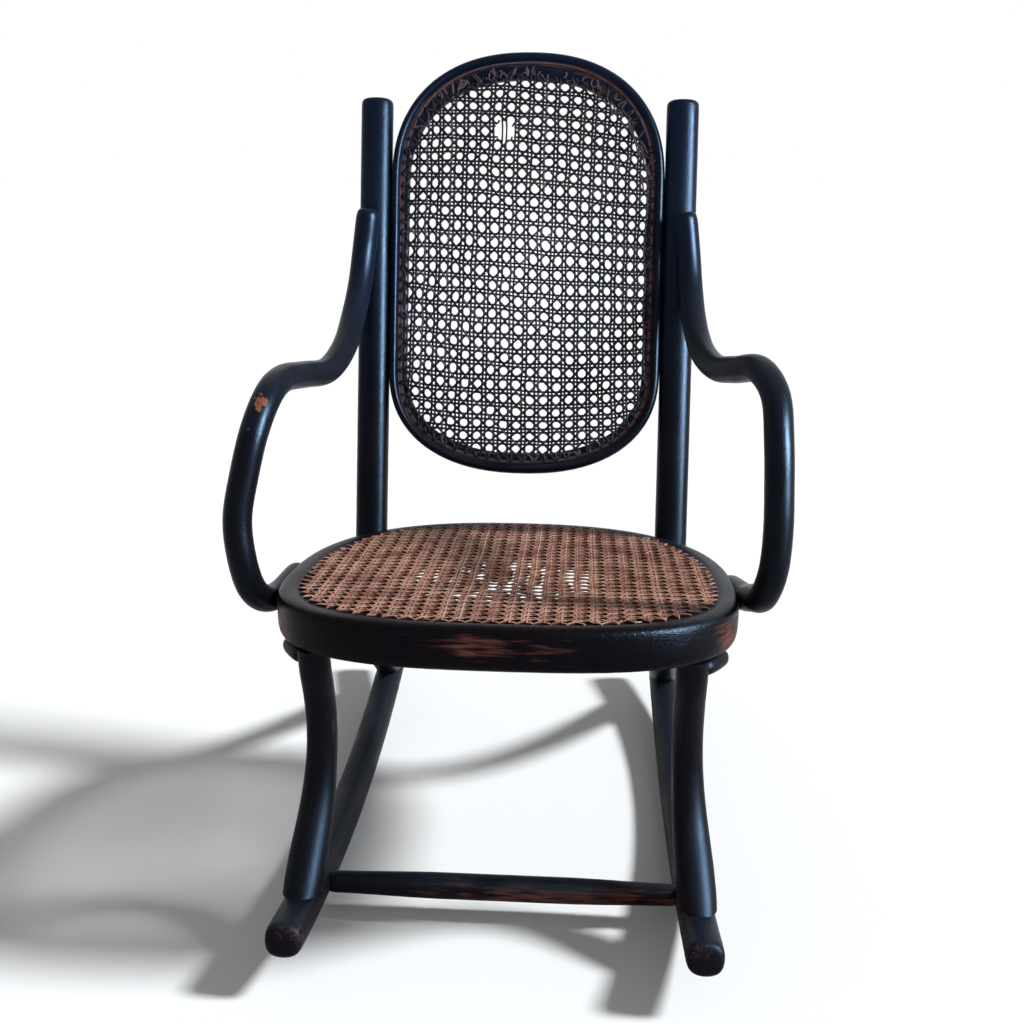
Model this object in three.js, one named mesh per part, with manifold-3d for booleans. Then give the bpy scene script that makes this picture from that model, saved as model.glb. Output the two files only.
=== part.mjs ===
// A low bentwood rocking chair with arms, and woven cane in its seat and in its oval back.
// Millimetres. X runs across the chair, Y from front to back and Z up. Left and right are as seen from the front.
// The origin is on the floor, in the middle of the box that the chair fills.
import * as THREE from "three";
import { mergeGeometries, mergeVertices } from "three/addons/utils/BufferGeometryUtils.js";
import Module from "manifold-3d";

const wasm = await Module();
wasm.setup();

// Seat ring: its plan is a rounded trapezoid, widest a little in front of its middle
const seatHalfWidth = 212;
const seatFrontDepth = 167;
const seatBackDepth = 241;
const seatFrontPower = 2.9;
const seatBackPower = 2.4;
const seatHeight = 306;
const seatTilt = THREE.MathUtils.degToRad(5.1);
const ringHeight = 40;
const ringWidth = 31;
const ringRounding = 5;

// Cane panels: thin nets let into the wood, with every second row of the weave left out
const seatRimShown = 18;
const caneThickness = 2.4;
const caneRebate = 3;
const canePitch = 14.4;
const caneBar = 9;
const rowsPerGap = 2;

// Back posts, which carry on below the seat as the rear legs
const postSpacing = 330;
const postWidth = 34.5;
const postDepth = 30;
const postPower = 3;
const postRise = 487;
const postBehindRing = 15;
const recline = THREE.MathUtils.degToRad(13.65);
const postTopRounding = 7;

// Back hoop, held between the posts
const hoopLift = 84;
const hoopHeight = 452;
const hoopTopEnd = 135;
const hoopBottomEnd = 110;
const hoopPower = 2.3;
const hoopSideWidth = 19;
const hoopTopWidth = 27;
const hoopBottomWidth = 22;
const hoopDepth = 24;
const hoopRounding = 4;
const hoopRebate = 7;
const hoopCaneSetback = 7;

// Runners: arcs that stand on the floor at their lowest point
const runnerInset = 34;
const runnerWidth = 33;
const runnerHeight = 32;
const runnerCorner = 8;
const rockerRadius = 1450;
const restDepth = 75;
const restFlat = 40;
const runnerFront = 258;
const runnerBack = 420;
const noseRounding = 9;

// Front legs
const legTopInset = 48;
const legTopWidth = 28;
const legFootWidth = 35;
const legBow = 30;
const legKick = 40;
const legPower = 2.3;
const legTenonRadius = 9;
const legTenonLength = 22;

// Rear legs: the lower stretch of the posts
const rearFootDepth = 333;

// Rounded blocks under the ring, beside the tops of the front legs
const blockLength = 54;
const blockWidth = 34;
const blockThickness = 15;
const blockOut = 13;
const blockBack = 22;
const blockRounding = 5;

// Arms
const armThickness = 25.5;
const armTopLift = 352;
const armOutset = 22;
const armFront = 121;
const armTopOutset = 5;
const armTopFlat = 3;
const armSeatDrop = 15;
const armSeatDepth = -5;
const armSeatFlat = 11;

// Stretcher between the runners
const stretcherDepth = 129;
const stretcherThickness = 24;
const stretcherEndThickness = 20;
const stretcherTenonRadius = 7;
const stretcherTenonLength = 14;

// Fasteners
const screwRadius = 2.2;
const screwHeadRadius = 4.4;
const screwHeadHeight = 3;
const screwGrip = 13;
const screwSunk = 4;
const boltRadius = 3;
const boltHeadRadius = 7;
const boltHeadHeight = 3.5;
const boltHeadSunk = 3;
const boltEndShown = 4;
const washerRadius = 9;
const washerThickness = 1.6;
const nutRadius = 6.4;
const nutThickness = 5;
const footScrewRadius = 2.8;
const footScrewHeadRadius = 5.4;
const footScrewGrip = 17;

// Clearance between pieces that touch, and how far a cutter runs past what it cuts
const fit = 0.3;
const overrun = 20;

// Vertices closer than this are one
const weld = 1e-4;

// Numbers of segments
const outlineSteps = 56;
const sectionSteps = 12;
const hoopSteps = 48;
const runnerSteps = 8;
const armSteps = 28;
const roundSteps = 8;

const wood = { color: 0x1a1718, roughness: 0.34, metalness: 0 };
const lowWood = { color: 0x241b19, roughness: 0.42, metalness: 0 };
const seatCaneLook = { color: 0x8a5d44, roughness: 0.7, metalness: 0 };
const backCaneLook = { color: 0x2d2020, roughness: 0.6, metalness: 0 };
const steel = { color: 0x4a4744, roughness: 0.5, metalness: 0.9 };

// Frames of the seat and of the back, each turned about X
const seatFrame = new THREE.Matrix4()
  .makeTranslation(0, 0, seatHeight)
  .multiply(new THREE.Matrix4().makeRotationX(-seatTilt));
const halfSeatDepth = (seatFrontDepth + seatBackDepth) / 2;
const widestDepth = seatFrontDepth - halfSeatDepth;

// Half of the seat's width at a depth, or its depth at a half width, for an outline drawn in by an inset
function seatDepthAt(halfWidth, inset, atBack) {
  const power = atBack ? seatBackPower : seatFrontPower;
  const reach = (atBack ? seatBackDepth : seatFrontDepth) - inset;
  const rest = 1 - Math.pow(halfWidth / (seatHalfWidth - inset), power);
  return widestDepth + (atBack ? 1 : -1) * reach * Math.pow(rest, 1 / power);
}

function seatHalfWidthAt(depth, inset) {
  const atBack = depth > widestDepth;
  const power = atBack ? seatBackPower : seatFrontPower;
  const reach = (atBack ? seatBackDepth : seatFrontDepth) - inset;
  const rest = 1 - Math.pow(Math.abs(depth - widestDepth) / reach, power);
  return (seatHalfWidth - inset) * Math.pow(rest, 1 / power);
}

const signedPower = (value, power) => Math.sign(value) * Math.pow(Math.abs(value), power);

// A closed oval: two half super-ellipses with straight sides of a given length between them
function ovalPoints({ halfWidth, low, high, straight = 0, lowPower, highPower, steps }) {
  const points = [];
  for (let i = 0; i < steps; i++) {
    const angle = (2 * Math.PI * (i + 0.5)) / steps;
    const up = Math.sin(angle) > 0;
    const power = up ? highPower : lowPower;
    const x = halfWidth * signedPower(Math.cos(angle), 2 / power);
    const y = (up ? high : low) * signedPower(Math.sin(angle), 2 / power);
    points.push(new THREE.Vector2(x, y + (up ? straight : 0)));
  }
  return points;
}

function seatOutline(inset) {
  const points = ovalPoints({
    halfWidth: seatHalfWidth - inset,
    low: seatFrontDepth - inset,
    high: seatBackDepth - inset,
    lowPower: seatFrontPower,
    highPower: seatBackPower,
    steps: outlineSteps,
  });
  for (const point of points) point.y += widestDepth;
  return points;
}

// The hoop lies between the posts, so its width follows from theirs
const hoopHalfWidth = (postSpacing - postWidth) / 2 - fit;
const hoopStraight = hoopHeight - hoopTopEnd - hoopBottomEnd;

function hoopOutline(side, top, bottom) {
  const points = ovalPoints({
    halfWidth: hoopHalfWidth - side,
    low: hoopBottomEnd - bottom,
    high: hoopTopEnd - top,
    straight: hoopStraight,
    lowPower: hoopPower,
    highPower: hoopPower,
    steps: hoopSteps,
  });
  for (const point of points) point.y += hoopLift + hoopBottomEnd;
  return points;
}

// Solids: a geometry as a manifold, and back
function solidOf(geometry) {
  const bare = geometry.clone();
  bare.deleteAttribute("normal");
  bare.deleteAttribute("uv");
  const merged = mergeVertices(bare, weld);
  return new wasm.Manifold(
    new wasm.Mesh({
      numProp: 3,
      vertProperties: new Float32Array(merged.attributes.position.array),
      triVerts: new Uint32Array(merged.index.array),
    }),
  );
}

function geometryOf(solid) {
  const made = solid.getMesh();
  const geometry = new THREE.BufferGeometry();
  geometry.setAttribute("position", new THREE.BufferAttribute(made.vertProperties, 3));
  geometry.setIndex(new THREE.BufferAttribute(made.triVerts, 1));
  geometry.computeVertexNormals();
  return geometry;
}

function cut(geometry, ...cutters) {
  let solid = solidOf(geometry);
  for (const cutter of cutters) solid = solid.subtract(solidOf(cutter));
  return geometryOf(solid);
}

function join(first, second) {
  return geometryOf(solidOf(first).add(solidOf(second)));
}

function moved(geometry, matrix) {
  return geometry.clone().applyMatrix4(matrix);
}

function mirrored(geometry) {
  const flipped = (geometry.index ? geometry.toNonIndexed() : geometry.clone()).scale(-1, 1, 1);
  const place = flipped.attributes.position;
  for (let i = 0; i < place.count; i += 3) {
    const second = new THREE.Vector3().fromBufferAttribute(place, i + 1);
    const third = new THREE.Vector3().fromBufferAttribute(place, i + 2);
    place.setXYZ(i + 1, third.x, third.y, third.z);
    place.setXYZ(i + 2, second.x, second.y, second.z);
  }
  return flipped;
}

// A plate with the given outline and holes, rounded along its edges, from z = 0 up
function plate(outline, holes, thickness, rounding) {
  const shape = new THREE.Shape(outline);
  for (const hole of holes) shape.holes.push(new THREE.Path(hole));
  const geometry = new THREE.ExtrudeGeometry(shape, {
    depth: thickness - 2 * rounding,
    bevelEnabled: rounding > 0,
    bevelThickness: rounding,
    bevelSize: rounding,
    bevelOffset: -rounding,
    bevelSegments: 2,
    curveSegments: roundSteps,
  });
  return geometry.translate(0, 0, rounding);
}

// Unit sections that are scaled along a bent piece
function roundSection(power, steps) {
  const points = [];
  for (let i = 0; i < steps; i++) {
    const angle = (2 * Math.PI * i) / steps;
    const x = signedPower(Math.cos(angle), 2 / power) / 2;
    points.push(new THREE.Vector2(x, signedPower(Math.sin(angle), 2 / power) / 2));
  }
  return points;
}

function cornerSection(width, height, corner) {
  const points = [];
  const centres = [[1, 1], [-1, 1], [-1, -1], [1, -1]];
  centres.forEach(([sx, sy], quarter) => {
    for (let i = 0; i <= 2; i++) {
      const angle = ((quarter + i / 2) * Math.PI) / 2;
      const x = sx * (width / 2 - corner) + corner * Math.cos(angle);
      const y = sy * (height / 2 - corner) + corner * Math.sin(angle);
      points.push(new THREE.Vector2(x / width, y / height));
    }
  });
  return points;
}

// A bent piece: a section carried along stations that each have a place, a heading and a size
function bentPiece(stations, section) {
  const positions = [];
  const index = [];
  const count = section.length;
  for (const { place, heading, width, height } of stations) {
    const across = new THREE.Vector3(1, 0, 0).addScaledVector(heading, -heading.x).normalize();
    const up = new THREE.Vector3().crossVectors(heading, across);
    for (const point of section) {
      const at = place.clone().addScaledVector(across, point.x * width);
      at.addScaledVector(up, point.y * height);
      positions.push(at.x, at.y, at.z);
    }
  }
  const last = (stations.length - 1) * count;
  for (let i = 0; i < stations.length - 1; i++) {
    for (let j = 0; j < count; j++) {
      const a = i * count + j;
      const b = i * count + ((j + 1) % count);
      index.push(a, b, b + count, a, b + count, a + count);
    }
  }
  const ends = [stations[0], stations.at(-1)].map(({ place }) => {
    positions.push(place.x, place.y, place.z);
    return positions.length / 3 - 1;
  });
  for (let j = 0; j < count; j++) {
    const k = (j + 1) % count;
    index.push(ends[0], k, j, ends[1], last + j, last + k);
  }
  const geometry = new THREE.BufferGeometry();
  geometry.setAttribute("position", new THREE.Float32BufferAttribute(positions, 3));
  geometry.setIndex(index);
  return geometry;
}

// Stations along a curve, with sizes as functions of the share of its length
function stationsAlong(curve, steps, widthAt, heightAt, from = 0, to = 1) {
  const stations = [];
  for (let i = 0; i <= steps; i++) {
    const share = from + ((to - from) * i) / steps;
    stations.push({
      place: curve.getPointAt(share),
      heading: curve.getTangentAt(share),
      width: widthAt(share),
      height: heightAt(share),
    });
  }
  return stations;
}

// Both ends of a bent piece drawn in over a short length, as shares of that length and of the size
const roundedEndShares = [[0, 0.5], [0.14, 0.76], [0.45, 0.93], [1, 1]];

function roundStart(stations, rounding) {
  const [first] = stations;
  const tip = roundedEndShares.slice(0, -1).map(([length, size]) => ({
    place: first.place.clone().addScaledVector(first.heading, (length - 1) * rounding),
    heading: first.heading,
    width: first.width * size,
    height: first.height * size,
  }));
  return [...tip, ...stations];
}

function roundEnd(stations, rounding) {
  const last = stations.at(-1);
  const tip = roundedEndShares.slice(0, -1).map(([length, size]) => ({
    place: last.place.clone().addScaledVector(last.heading, (1 - length) * rounding),
    heading: last.heading,
    width: last.width * size,
    height: last.height * size,
  }));
  return [...stations, ...tip.reverse()];
}

// A matrix that lays +Z along a direction, from a place
function aimed(place, direction) {
  const turn = new THREE.Quaternion().setFromUnitVectors(
    new THREE.Vector3(0, 0, 1),
    direction.clone().normalize(),
  );
  return new THREE.Matrix4().compose(place, turn, new THREE.Vector3(1, 1, 1));
}

function rod(radius, from, to) {
  return new THREE.CylinderGeometry(radius, radius, to - from, roundSteps)
    .rotateX(Math.PI / 2)
    .translate(0, 0, (from + to) / 2);
}

// A profile turned about +Z
function turned(profile, steps) {
  const points = profile.map(([x, y]) => new THREE.Vector2(x, y));
  return new THREE.LatheGeometry(points, steps).rotateX(Math.PI / 2);
}

// Shares of a fastener's head: of its radius and of its height
const headShares = [[0, -1], [0.7, -1], [1, -0.33], [1, 0]];

// A round-headed fastener along +Z: its head ends at z = 0 and its shank runs on to its length
function fastener(radius, headRadius, headHeight, length) {
  const head = headShares.map(([out, up]) => [out * headRadius, up * headHeight]);
  return turned([...head, [radius, 0], [radius, length - radius], [0, length]], roundSteps);
}

// The room that a round piece needs: its flats clear the radius
const boreRadius = (radius) => (radius + fit) / Math.cos(Math.PI / roundSteps);

// The room that a fastener needs in the pieces it goes through
function fastenerBore(radius, headRadius, length) {
  const head = rod(boreRadius(headRadius), -overrun, 0);
  return join(head, rod(boreRadius(radius), -overrun, length + fit));
}

function closedRing(inner, outer, thickness, steps) {
  const profile = [[inner, 0], [outer, 0], [outer, thickness], [inner, thickness], [inner, 0]];
  return turned(profile, steps);
}

function mesh(name, geometry, look) {
  const made = new THREE.Mesh(geometry, new THREE.MeshStandardMaterial(look));
  made.name = name;
  return made;
}

// A net: an outline with a gap in each cell of a grid that lies wholly inside a smaller outline
function inside(point, outline) {
  let crossings = 0;
  outline.forEach((a, i) => {
    const b = outline[(i + 1) % outline.length];
    if (a.y > point.y !== b.y > point.y) {
      const x = a.x + ((point.y - a.y) / (b.y - a.y)) * (b.x - a.x);
      if (x > point.x) crossings++;
    }
  });
  return crossings % 2 === 1;
}

function net(outline, opening, thickness) {
  const pitch = canePitch * rowsPerGap;
  const half = (pitch - caneBar) / 2;
  const depths = opening.map((point) => point.y);
  const widths = opening.map((point) => point.x);
  const middle = (Math.max(...depths) + Math.min(...depths)) / 2;
  const rows = Math.ceil((Math.max(...depths) - middle) / pitch);
  const columns = Math.ceil(Math.max(...widths) / pitch);
  const gaps = [];
  for (let i = -columns; i < columns; i++) {
    for (let j = -rows; j <= rows; j++) {
      const x = (i + 0.5) * pitch;
      const y = middle + j * pitch;
      const corners = [[-1, -1], [1, -1], [1, 1], [-1, 1]].map(
        ([sx, sy]) => new THREE.Vector2(x + sx * half, y + sy * half),
      );
      if (corners.every((corner) => inside(corner, opening))) {
        gaps.push(new THREE.BoxGeometry(2 * half, 2 * half, 2 * overrun).translate(x, y, 0));
      }
    }
  }
  return cut(plate(outline, [], thickness, 0), mergeGeometries(gaps));
}

// Places in the seat's frame
const halfPost = postSpacing / 2;
const postSeatDepth = seatDepthAt(halfPost, 0, true) + postBehindRing;
const postSeatPlace = new THREE.Vector3(halfPost, postSeatDepth, -ringHeight / 2);
const halfLegSpacing = seatHalfWidth - legTopInset;
const legPlace = new THREE.Vector3(
  halfLegSpacing,
  seatDepthAt(halfLegSpacing, ringWidth / 2, false),
  -ringHeight,
);

// The back's frame stands where the posts' axes pass the middle of the ring's height
const backOrigin = new THREE.Vector3(0, postSeatDepth, -ringHeight / 2).applyMatrix4(seatFrame);
const backFrame = new THREE.Matrix4()
  .makeTranslation(backOrigin.x, backOrigin.y, backOrigin.z)
  .multiply(new THREE.Matrix4().makeRotationX(-recline));

// The runner's arc, seen from the side: the height of its underside at a depth
const runnerRise = (depth) =>
  rockerRadius - Math.sqrt(rockerRadius ** 2 - (depth - restDepth) ** 2);

function runnerStations(width, height, grow = 0) {
  const radius = rockerRadius - height / 2;
  const flat = Math.asin(restFlat / 2 / rockerRadius);
  const front = Math.asin((restDepth + runnerFront - noseRounding) / rockerRadius);
  const back = Math.asin((runnerBack - restDepth - noseRounding) / rockerRadius);
  const angles = [];
  for (let i = 0; i <= runnerSteps; i++) angles.push(-front + ((front - flat) * i) / runnerSteps);
  for (let i = 0; i <= runnerSteps; i++) angles.push(flat + ((back - flat) * i) / runnerSteps);
  return angles.map((angle) => ({
    place: new THREE.Vector3(
      0,
      restDepth + radius * Math.sin(angle),
      rockerRadius * Math.cos(flat) - radius * Math.cos(angle),
    ),
    heading: new THREE.Vector3(0, Math.cos(angle), Math.sin(angle)),
    width: width + 2 * grow,
    height: height + 2 * grow,
  }));
}

const halfRunner = seatHalfWidth - runnerInset;
const runnerGeometry = bentPiece(
  roundEnd(roundStart(runnerStations(runnerWidth, runnerHeight), noseRounding), noseRounding),
  cornerSection(runnerWidth, runnerHeight, runnerCorner),
).translate(halfRunner, 0, 0);

// All that lies under the tops of the runners, which trims the feet of the legs; -y is up in this section
const underRunnerTops = bentPiece(
  runnerStations(runnerWidth, runnerHeight, fit),
  [[-1, 1], [-1, -0.5], [1, -0.5], [1, 1]].map(([x, y]) => new THREE.Vector2(x, y)),
).translate(halfRunner, 0, 0);

// The whole of the ring's outer form with the clearance, which trims what bears on it from outside
const ringCutter = moved(
  plate(seatOutline(-fit), [], ringHeight + 2 * fit, 0).translate(0, 0, -ringHeight - fit),
  seatFrame,
);
const aboveRingUnderside = moved(
  plate(seatOutline(-overrun), [], ringHeight + overrun, 0).translate(0, 0, -ringHeight - fit),
  seatFrame,
);

// Post and rear leg, in one bent rod
const rearFoot = new THREE.Vector3(
  halfRunner,
  rearFootDepth,
  runnerRise(rearFootDepth) + runnerHeight - legFootWidth / 3,
);
const postBase = new THREE.Vector3(halfPost, 0, 0).applyMatrix4(backFrame);

// Shares of the way back and of the way down from the seat to the rear foot
const rearLegShares = [[0.02, 0.2], [0.15, 0.42], [0.39, 0.63], [0.68, 0.82], [1, 1]];
const postTop = new THREE.Vector3(halfPost, 0, postRise - postTopRounding).applyMatrix4(backFrame);
const lowPost = new THREE.CatmullRomCurve3([
  postBase,
  ...rearLegShares.map(
    ([back, down]) =>
      new THREE.Vector3(
        THREE.MathUtils.lerp(postBase.x, rearFoot.x, down),
        THREE.MathUtils.lerp(postBase.y, rearFoot.y, back),
        THREE.MathUtils.lerp(postBase.z, rearFoot.z, down),
      ),
  ),
]);

const upperPostShares = [0, 0.5, 0.9];

function postStations(grow) {
  const upper = upperPostShares.map((share) => ({
    place: postTop.clone().lerp(postBase, share),
    heading: postBase.clone().sub(postTop).normalize(),
    width: postWidth + 2 * grow,
    height: postDepth + 2 * grow,
  }));
  const lower = stationsAlong(
    lowPost,
    sectionSteps,
    () => postWidth + 2 * grow,
    () => postDepth + 2 * grow,
  );
  return [...upper, ...lower];
}

const postSection = roundSection(postPower, sectionSteps + 2);
const plainPost = bentPiece(roundStart(postStations(0), postTopRounding), postSection);
const postCutter = bentPiece(postStations(fit), postSection);

// Front leg: it bows back below the ring and kicks forward at the foot
const legTop = legPlace.clone().applyMatrix4(seatFrame);
const frontFootHeight = runnerRise(legTop.y - legKick) + runnerHeight - legFootWidth / 3;
// Rows of shares: of the drop, of the bow, of the kick and of the splay
const legShares = [
  [-0.04, -0.06, 0, 0],
  [0.08, 0.12, 0, 0.02],
  [0.22, 0.6, 0, 0.07],
  [0.38, 0.98, 0, 0.16],
  [0.54, 1, 0.02, 0.3],
  [0.7, 0.8, 0.16, 0.5],
  [0.85, 0.42, 0.5, 0.76],
  [1, 0, 1, 1],
];
const legPath = new THREE.CatmullRomCurve3(
  legShares.map(
    ([drop, bow, kick, splay]) =>
      new THREE.Vector3(
        THREE.MathUtils.lerp(legTop.x, halfRunner, splay),
        legTop.y + legBow * bow - legKick * kick,
        THREE.MathUtils.lerp(legTop.z, frontFootHeight, drop),
      ),
  ),
);
const legSwellShares = [0.45, 0.95];
const legWidthAt = (share) =>
  THREE.MathUtils.lerp(
    legTopWidth,
    legFootWidth,
    THREE.MathUtils.smoothstep(share, ...legSwellShares),
  );
const legTenon = moved(
  rod(legTenonRadius, -overrun / 2, legTenonLength),
  aimed(legPlace, new THREE.Vector3(0, 0, 1)).premultiply(seatFrame),
);
const legTenonBore = rod(boreRadius(legTenonRadius), -overrun, legTenonLength + fit).applyMatrix4(
  aimed(legPlace, new THREE.Vector3(0, 0, 1)),
);
const plainLeg = bentPiece(
  stationsAlong(legPath, sectionSteps + 2, legWidthAt, legWidthAt),
  roundSection(legPower, sectionSteps),
);

// Arm: an S from the front of the post, forward over the seat, down in front and back along the ring
const armTop = new THREE.Vector3(
  halfPost + armTopOutset,
  -(postDepth + armThickness) / 2 + armTopFlat,
  armTopLift,
).applyMatrix4(backFrame);
const armSeatX = seatHalfWidthAt(armSeatDepth, 0) + armThickness / 2 - armSeatFlat;
const armEnd = new THREE.Vector3(armSeatX, armSeatDepth, -armSeatDrop).applyMatrix4(seatFrame);
const armHalfSpread = seatHalfWidth + armOutset;
// The two were bent by hand and differ a little, so each has its own rows of shares: of the way out,
// of the way forward and of the height from the end to the top
const armShares = {
  left: [
    [0, 0, 1],
    [0.06, 0.015, 0.902],
    [0.1, 0.06, 0.804],
    [0.14, 0.16, 0.706],
    [0.168, 0.29, 0.633],
    [0.29, 0.44, 0.587],
    [0.485, 0.6, 0.602],
    [0.61, 0.745, 0.616],
    [0.663, 0.865, 0.593],
    [0.777, 0.935, 0.514],
    [0.905, 0.97, 0.401],
    [1.003, 0.993, 0.283],
    [0.96, 1, 0.175],
    [0.9, 0.965, 0.079],
    [0.83, 0.88, 0.017],
    [0.75, 0.8, 0],
  ],
  right: [
    [0, 0, 1],
    [0.06, 0.015, 0.902],
    [0.1, 0.06, 0.804],
    [0.14, 0.16, 0.71],
    [0.22, 0.29, 0.641],
    [0.372, 0.44, 0.616],
    [0.562, 0.6, 0.639],
    [0.793, 0.745, 0.665],
    [0.94, 0.865, 0.618],
    [0.965, 0.935, 0.52],
    [0.985, 0.97, 0.401],
    [0.995, 0.993, 0.283],
    [0.96, 1, 0.175],
    [0.88, 0.965, 0.095],
    [0.825, 0.88, 0.06],
    [0.775, 0.8, 0.03],
  ],
};

function bentArm(shares) {
  const places = shares.map(
    ([out, forward, height]) =>
      new THREE.Vector3(
        THREE.MathUtils.lerp(armTop.x, armHalfSpread, out),
        THREE.MathUtils.lerp(armTop.y, -armFront, forward),
        THREE.MathUtils.lerp(armEnd.z, armTop.z, height),
      ),
  );
  const path = new THREE.CatmullRomCurve3([...places, armEnd]);
  const stations = stationsAlong(path, armSteps, () => armThickness, () => armThickness);
  return bentPiece(
    roundEnd(roundStart(stations, armThickness / 2), armThickness / 2),
    roundSection(2, sectionSteps),
  );
}

// Places and directions of the fasteners, each with its frame
const inX = new THREE.Vector3(-1, 0, 0);
const outX = new THREE.Vector3(1, 0, 0);
const upZ = new THREE.Vector3(0, 0, 1);

// Post bolt: square to the ring's outline, from the back of the post to a nut inside the ring
const slopeStep = ringWidth / 10;
const outlineSlope =
  (seatDepthAt(halfPost + slopeStep, 0, true) - seatDepthAt(halfPost - slopeStep, 0, true)) /
  (2 * slopeStep);
const boltInward = new THREE.Vector3(outlineSlope, -1, 0).normalize();
const postReach = postDepth / 2;
const boltStart = postSeatPlace.clone().addScaledVector(boltInward, boltHeadSunk - postReach);

function distanceToInset(from, direction, inset) {
  const outline = seatOutline(inset);
  let nearest = Infinity;
  outline.forEach((a, i) => {
    const b = outline[(i + 1) % outline.length];
    const edge = b.clone().sub(a);
    const cross = direction.x * edge.y - direction.y * edge.x;
    const ray = ((a.x - from.x) * edge.y - (a.y - from.y) * edge.x) / cross;
    const along = ((a.x - from.x) * direction.y - (a.y - from.y) * direction.x) / cross;
    if (ray > 0 && along >= 0 && along <= 1) nearest = Math.min(nearest, ray);
  });
  return nearest;
}

const boltToFace = distanceToInset(boltStart, boltInward, ringWidth) - washerThickness;
const boltLength = boltToFace + washerThickness + nutThickness + 2 * fit + boltEndShown;
const boltFrame = aimed(boltStart, boltInward);
const boltBore = moved(fastenerBore(boltRadius, boltHeadRadius, boltLength), boltFrame);
const washerSeat = moved(rod(boreRadius(washerRadius), boltToFace, boltLength + overrun), boltFrame);

// Hoop screws: from the outside of the post into the side of the hoop, as shares of the hoop's height
const hoopScrewShares = [0.3, 0.66];
const hoopScrewLength = postWidth - screwSunk + screwGrip;
const hoopScrewFrames = hoopScrewShares.map((share) =>
  aimed(
    new THREE.Vector3(halfPost + postWidth / 2 - screwSunk, 0, hoopLift + share * hoopHeight),
    inX,
  ),
);
const hoopScrewBore = fastenerBore(screwRadius, screwHeadRadius, hoopScrewLength);

// Arm screws: one through the post from behind, one through the ring from inside
const armTopScrewLength = postDepth - screwSunk + screwGrip;
const armTopScrewFrame = aimed(
  new THREE.Vector3(
    halfPost + armTopOutset,
    postDepth / 2 - screwSunk,
    armTopLift - armThickness,
  ),
  new THREE.Vector3(0, -1, 0),
);
const armTopScrewBore = fastenerBore(screwRadius, screwHeadRadius, armTopScrewLength);
const armSeatScrewDepth = armSeatDepth - armThickness;
const armSeatScrewLength = ringWidth - screwSunk + screwGrip;
const armSeatScrewFrame = aimed(
  new THREE.Vector3(
    seatHalfWidthAt(armSeatScrewDepth, ringWidth) + screwSunk,
    armSeatScrewDepth,
    -armSeatDrop - screwRadius,
  ),
  outX,
);
const armSeatScrewBore = fastenerBore(screwRadius, screwHeadRadius, armSeatScrewLength);

// Leg block: a stadium beside the leg, screwed up into the ring
const blockMiddle = new THREE.Vector3(legPlace.x + blockOut, legPlace.y + blockBack, 0);
const blockTurn = new THREE.Vector2(blockOut, blockBack).angle();
const blockHalfStraight = (blockLength - blockWidth) / 2;
const blockShape = new THREE.Shape()
  .absarc(blockHalfStraight, 0, blockWidth / 2, -Math.PI / 2, Math.PI / 2, false)
  .absarc(-blockHalfStraight, 0, blockWidth / 2, Math.PI / 2, (3 * Math.PI) / 2, false);
const blockOutline = blockShape.getPoints(roundSteps);
const blockFrame = new THREE.Matrix4()
  .makeTranslation(blockMiddle.x, blockMiddle.y, -ringHeight - fit - blockThickness)
  .multiply(new THREE.Matrix4().makeRotationZ(blockTurn));
const legCutter = moved(
  bentPiece(
    stationsAlong(
      legPath,
      sectionSteps + 2,
      (share) => legWidthAt(share) + 2 * fit,
      (share) => legWidthAt(share) + 2 * fit,
    ),
    roundSection(legPower, sectionSteps),
  ),
  seatFrame.clone().invert(),
);
const blockScrewLength = blockThickness - screwHeadHeight + screwGrip;
const blockScrewFrames = [0, 1].map((end) =>
  aimed(
    new THREE.Vector3(
      blockHalfStraight * end + screwRadius,
      ((1 - 2 * end) * blockWidth) / 4,
      screwHeadHeight,
    ),
    upZ,
  ).premultiply(blockFrame),
);
const blockScrewBore = fastenerBore(screwRadius, screwHeadRadius, blockScrewLength);

// Foot screws: up through the runner into the leg
const frontScrewDepth = legPath.getPointAt(1).y + legFootWidth / 4;
const rearScrewDepth = rearFootDepth - postDepth / 4;
const footScrewLength = runnerHeight - screwSunk - screwHeadHeight + footScrewGrip;
const footScrewFrames = [frontScrewDepth, rearScrewDepth].map((depth) =>
  aimed(
    new THREE.Vector3(halfRunner, depth, runnerRise(depth) + screwSunk + screwHeadHeight),
    upZ,
  ),
);
const footScrewBore = fastenerBore(footScrewRadius, footScrewHeadRadius, footScrewLength);

// Stretcher: turned, a little thicker in the middle, with a tenon at each end
const stretcherHeight = runnerRise(-stretcherDepth) + runnerHeight / 2;
const stretcherHalf = halfRunner - runnerWidth / 2 - fit;
const stretcherEnd = stretcherHalf + stretcherTenonLength;
const stretcherGeometry = turned(
  [
    [0, -stretcherEnd],
    [stretcherTenonRadius, -stretcherEnd],
    [stretcherTenonRadius, -stretcherHalf],
    [stretcherEndThickness / 2, -stretcherHalf],
    [stretcherThickness / 2, -stretcherHalf / 3],
    [stretcherThickness / 2, stretcherHalf / 3],
    [stretcherEndThickness / 2, stretcherHalf],
    [stretcherTenonRadius, stretcherHalf],
    [stretcherTenonRadius, stretcherEnd],
    [0, stretcherEnd],
  ],
  sectionSteps,
);
const stretcherPlace = new THREE.Vector3(0, -stretcherDepth, stretcherHeight);
const tenonBore = moved(
  rod(boreRadius(stretcherTenonRadius), stretcherHalf - overrun / 4, stretcherEnd + fit),
  aimed(stretcherPlace, outX),
);

// Assembly: one group for the seat, one for the back, and one for each side of the base
const chair = new THREE.Group();
const seat = new THREE.Group();
const back = new THREE.Group();
seat.applyMatrix4(seatFrame);
back.applyMatrix4(backFrame);
chair.add(seat, back);

const bothSides = (geometry) => [geometry, mirrored(geometry)];

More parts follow.
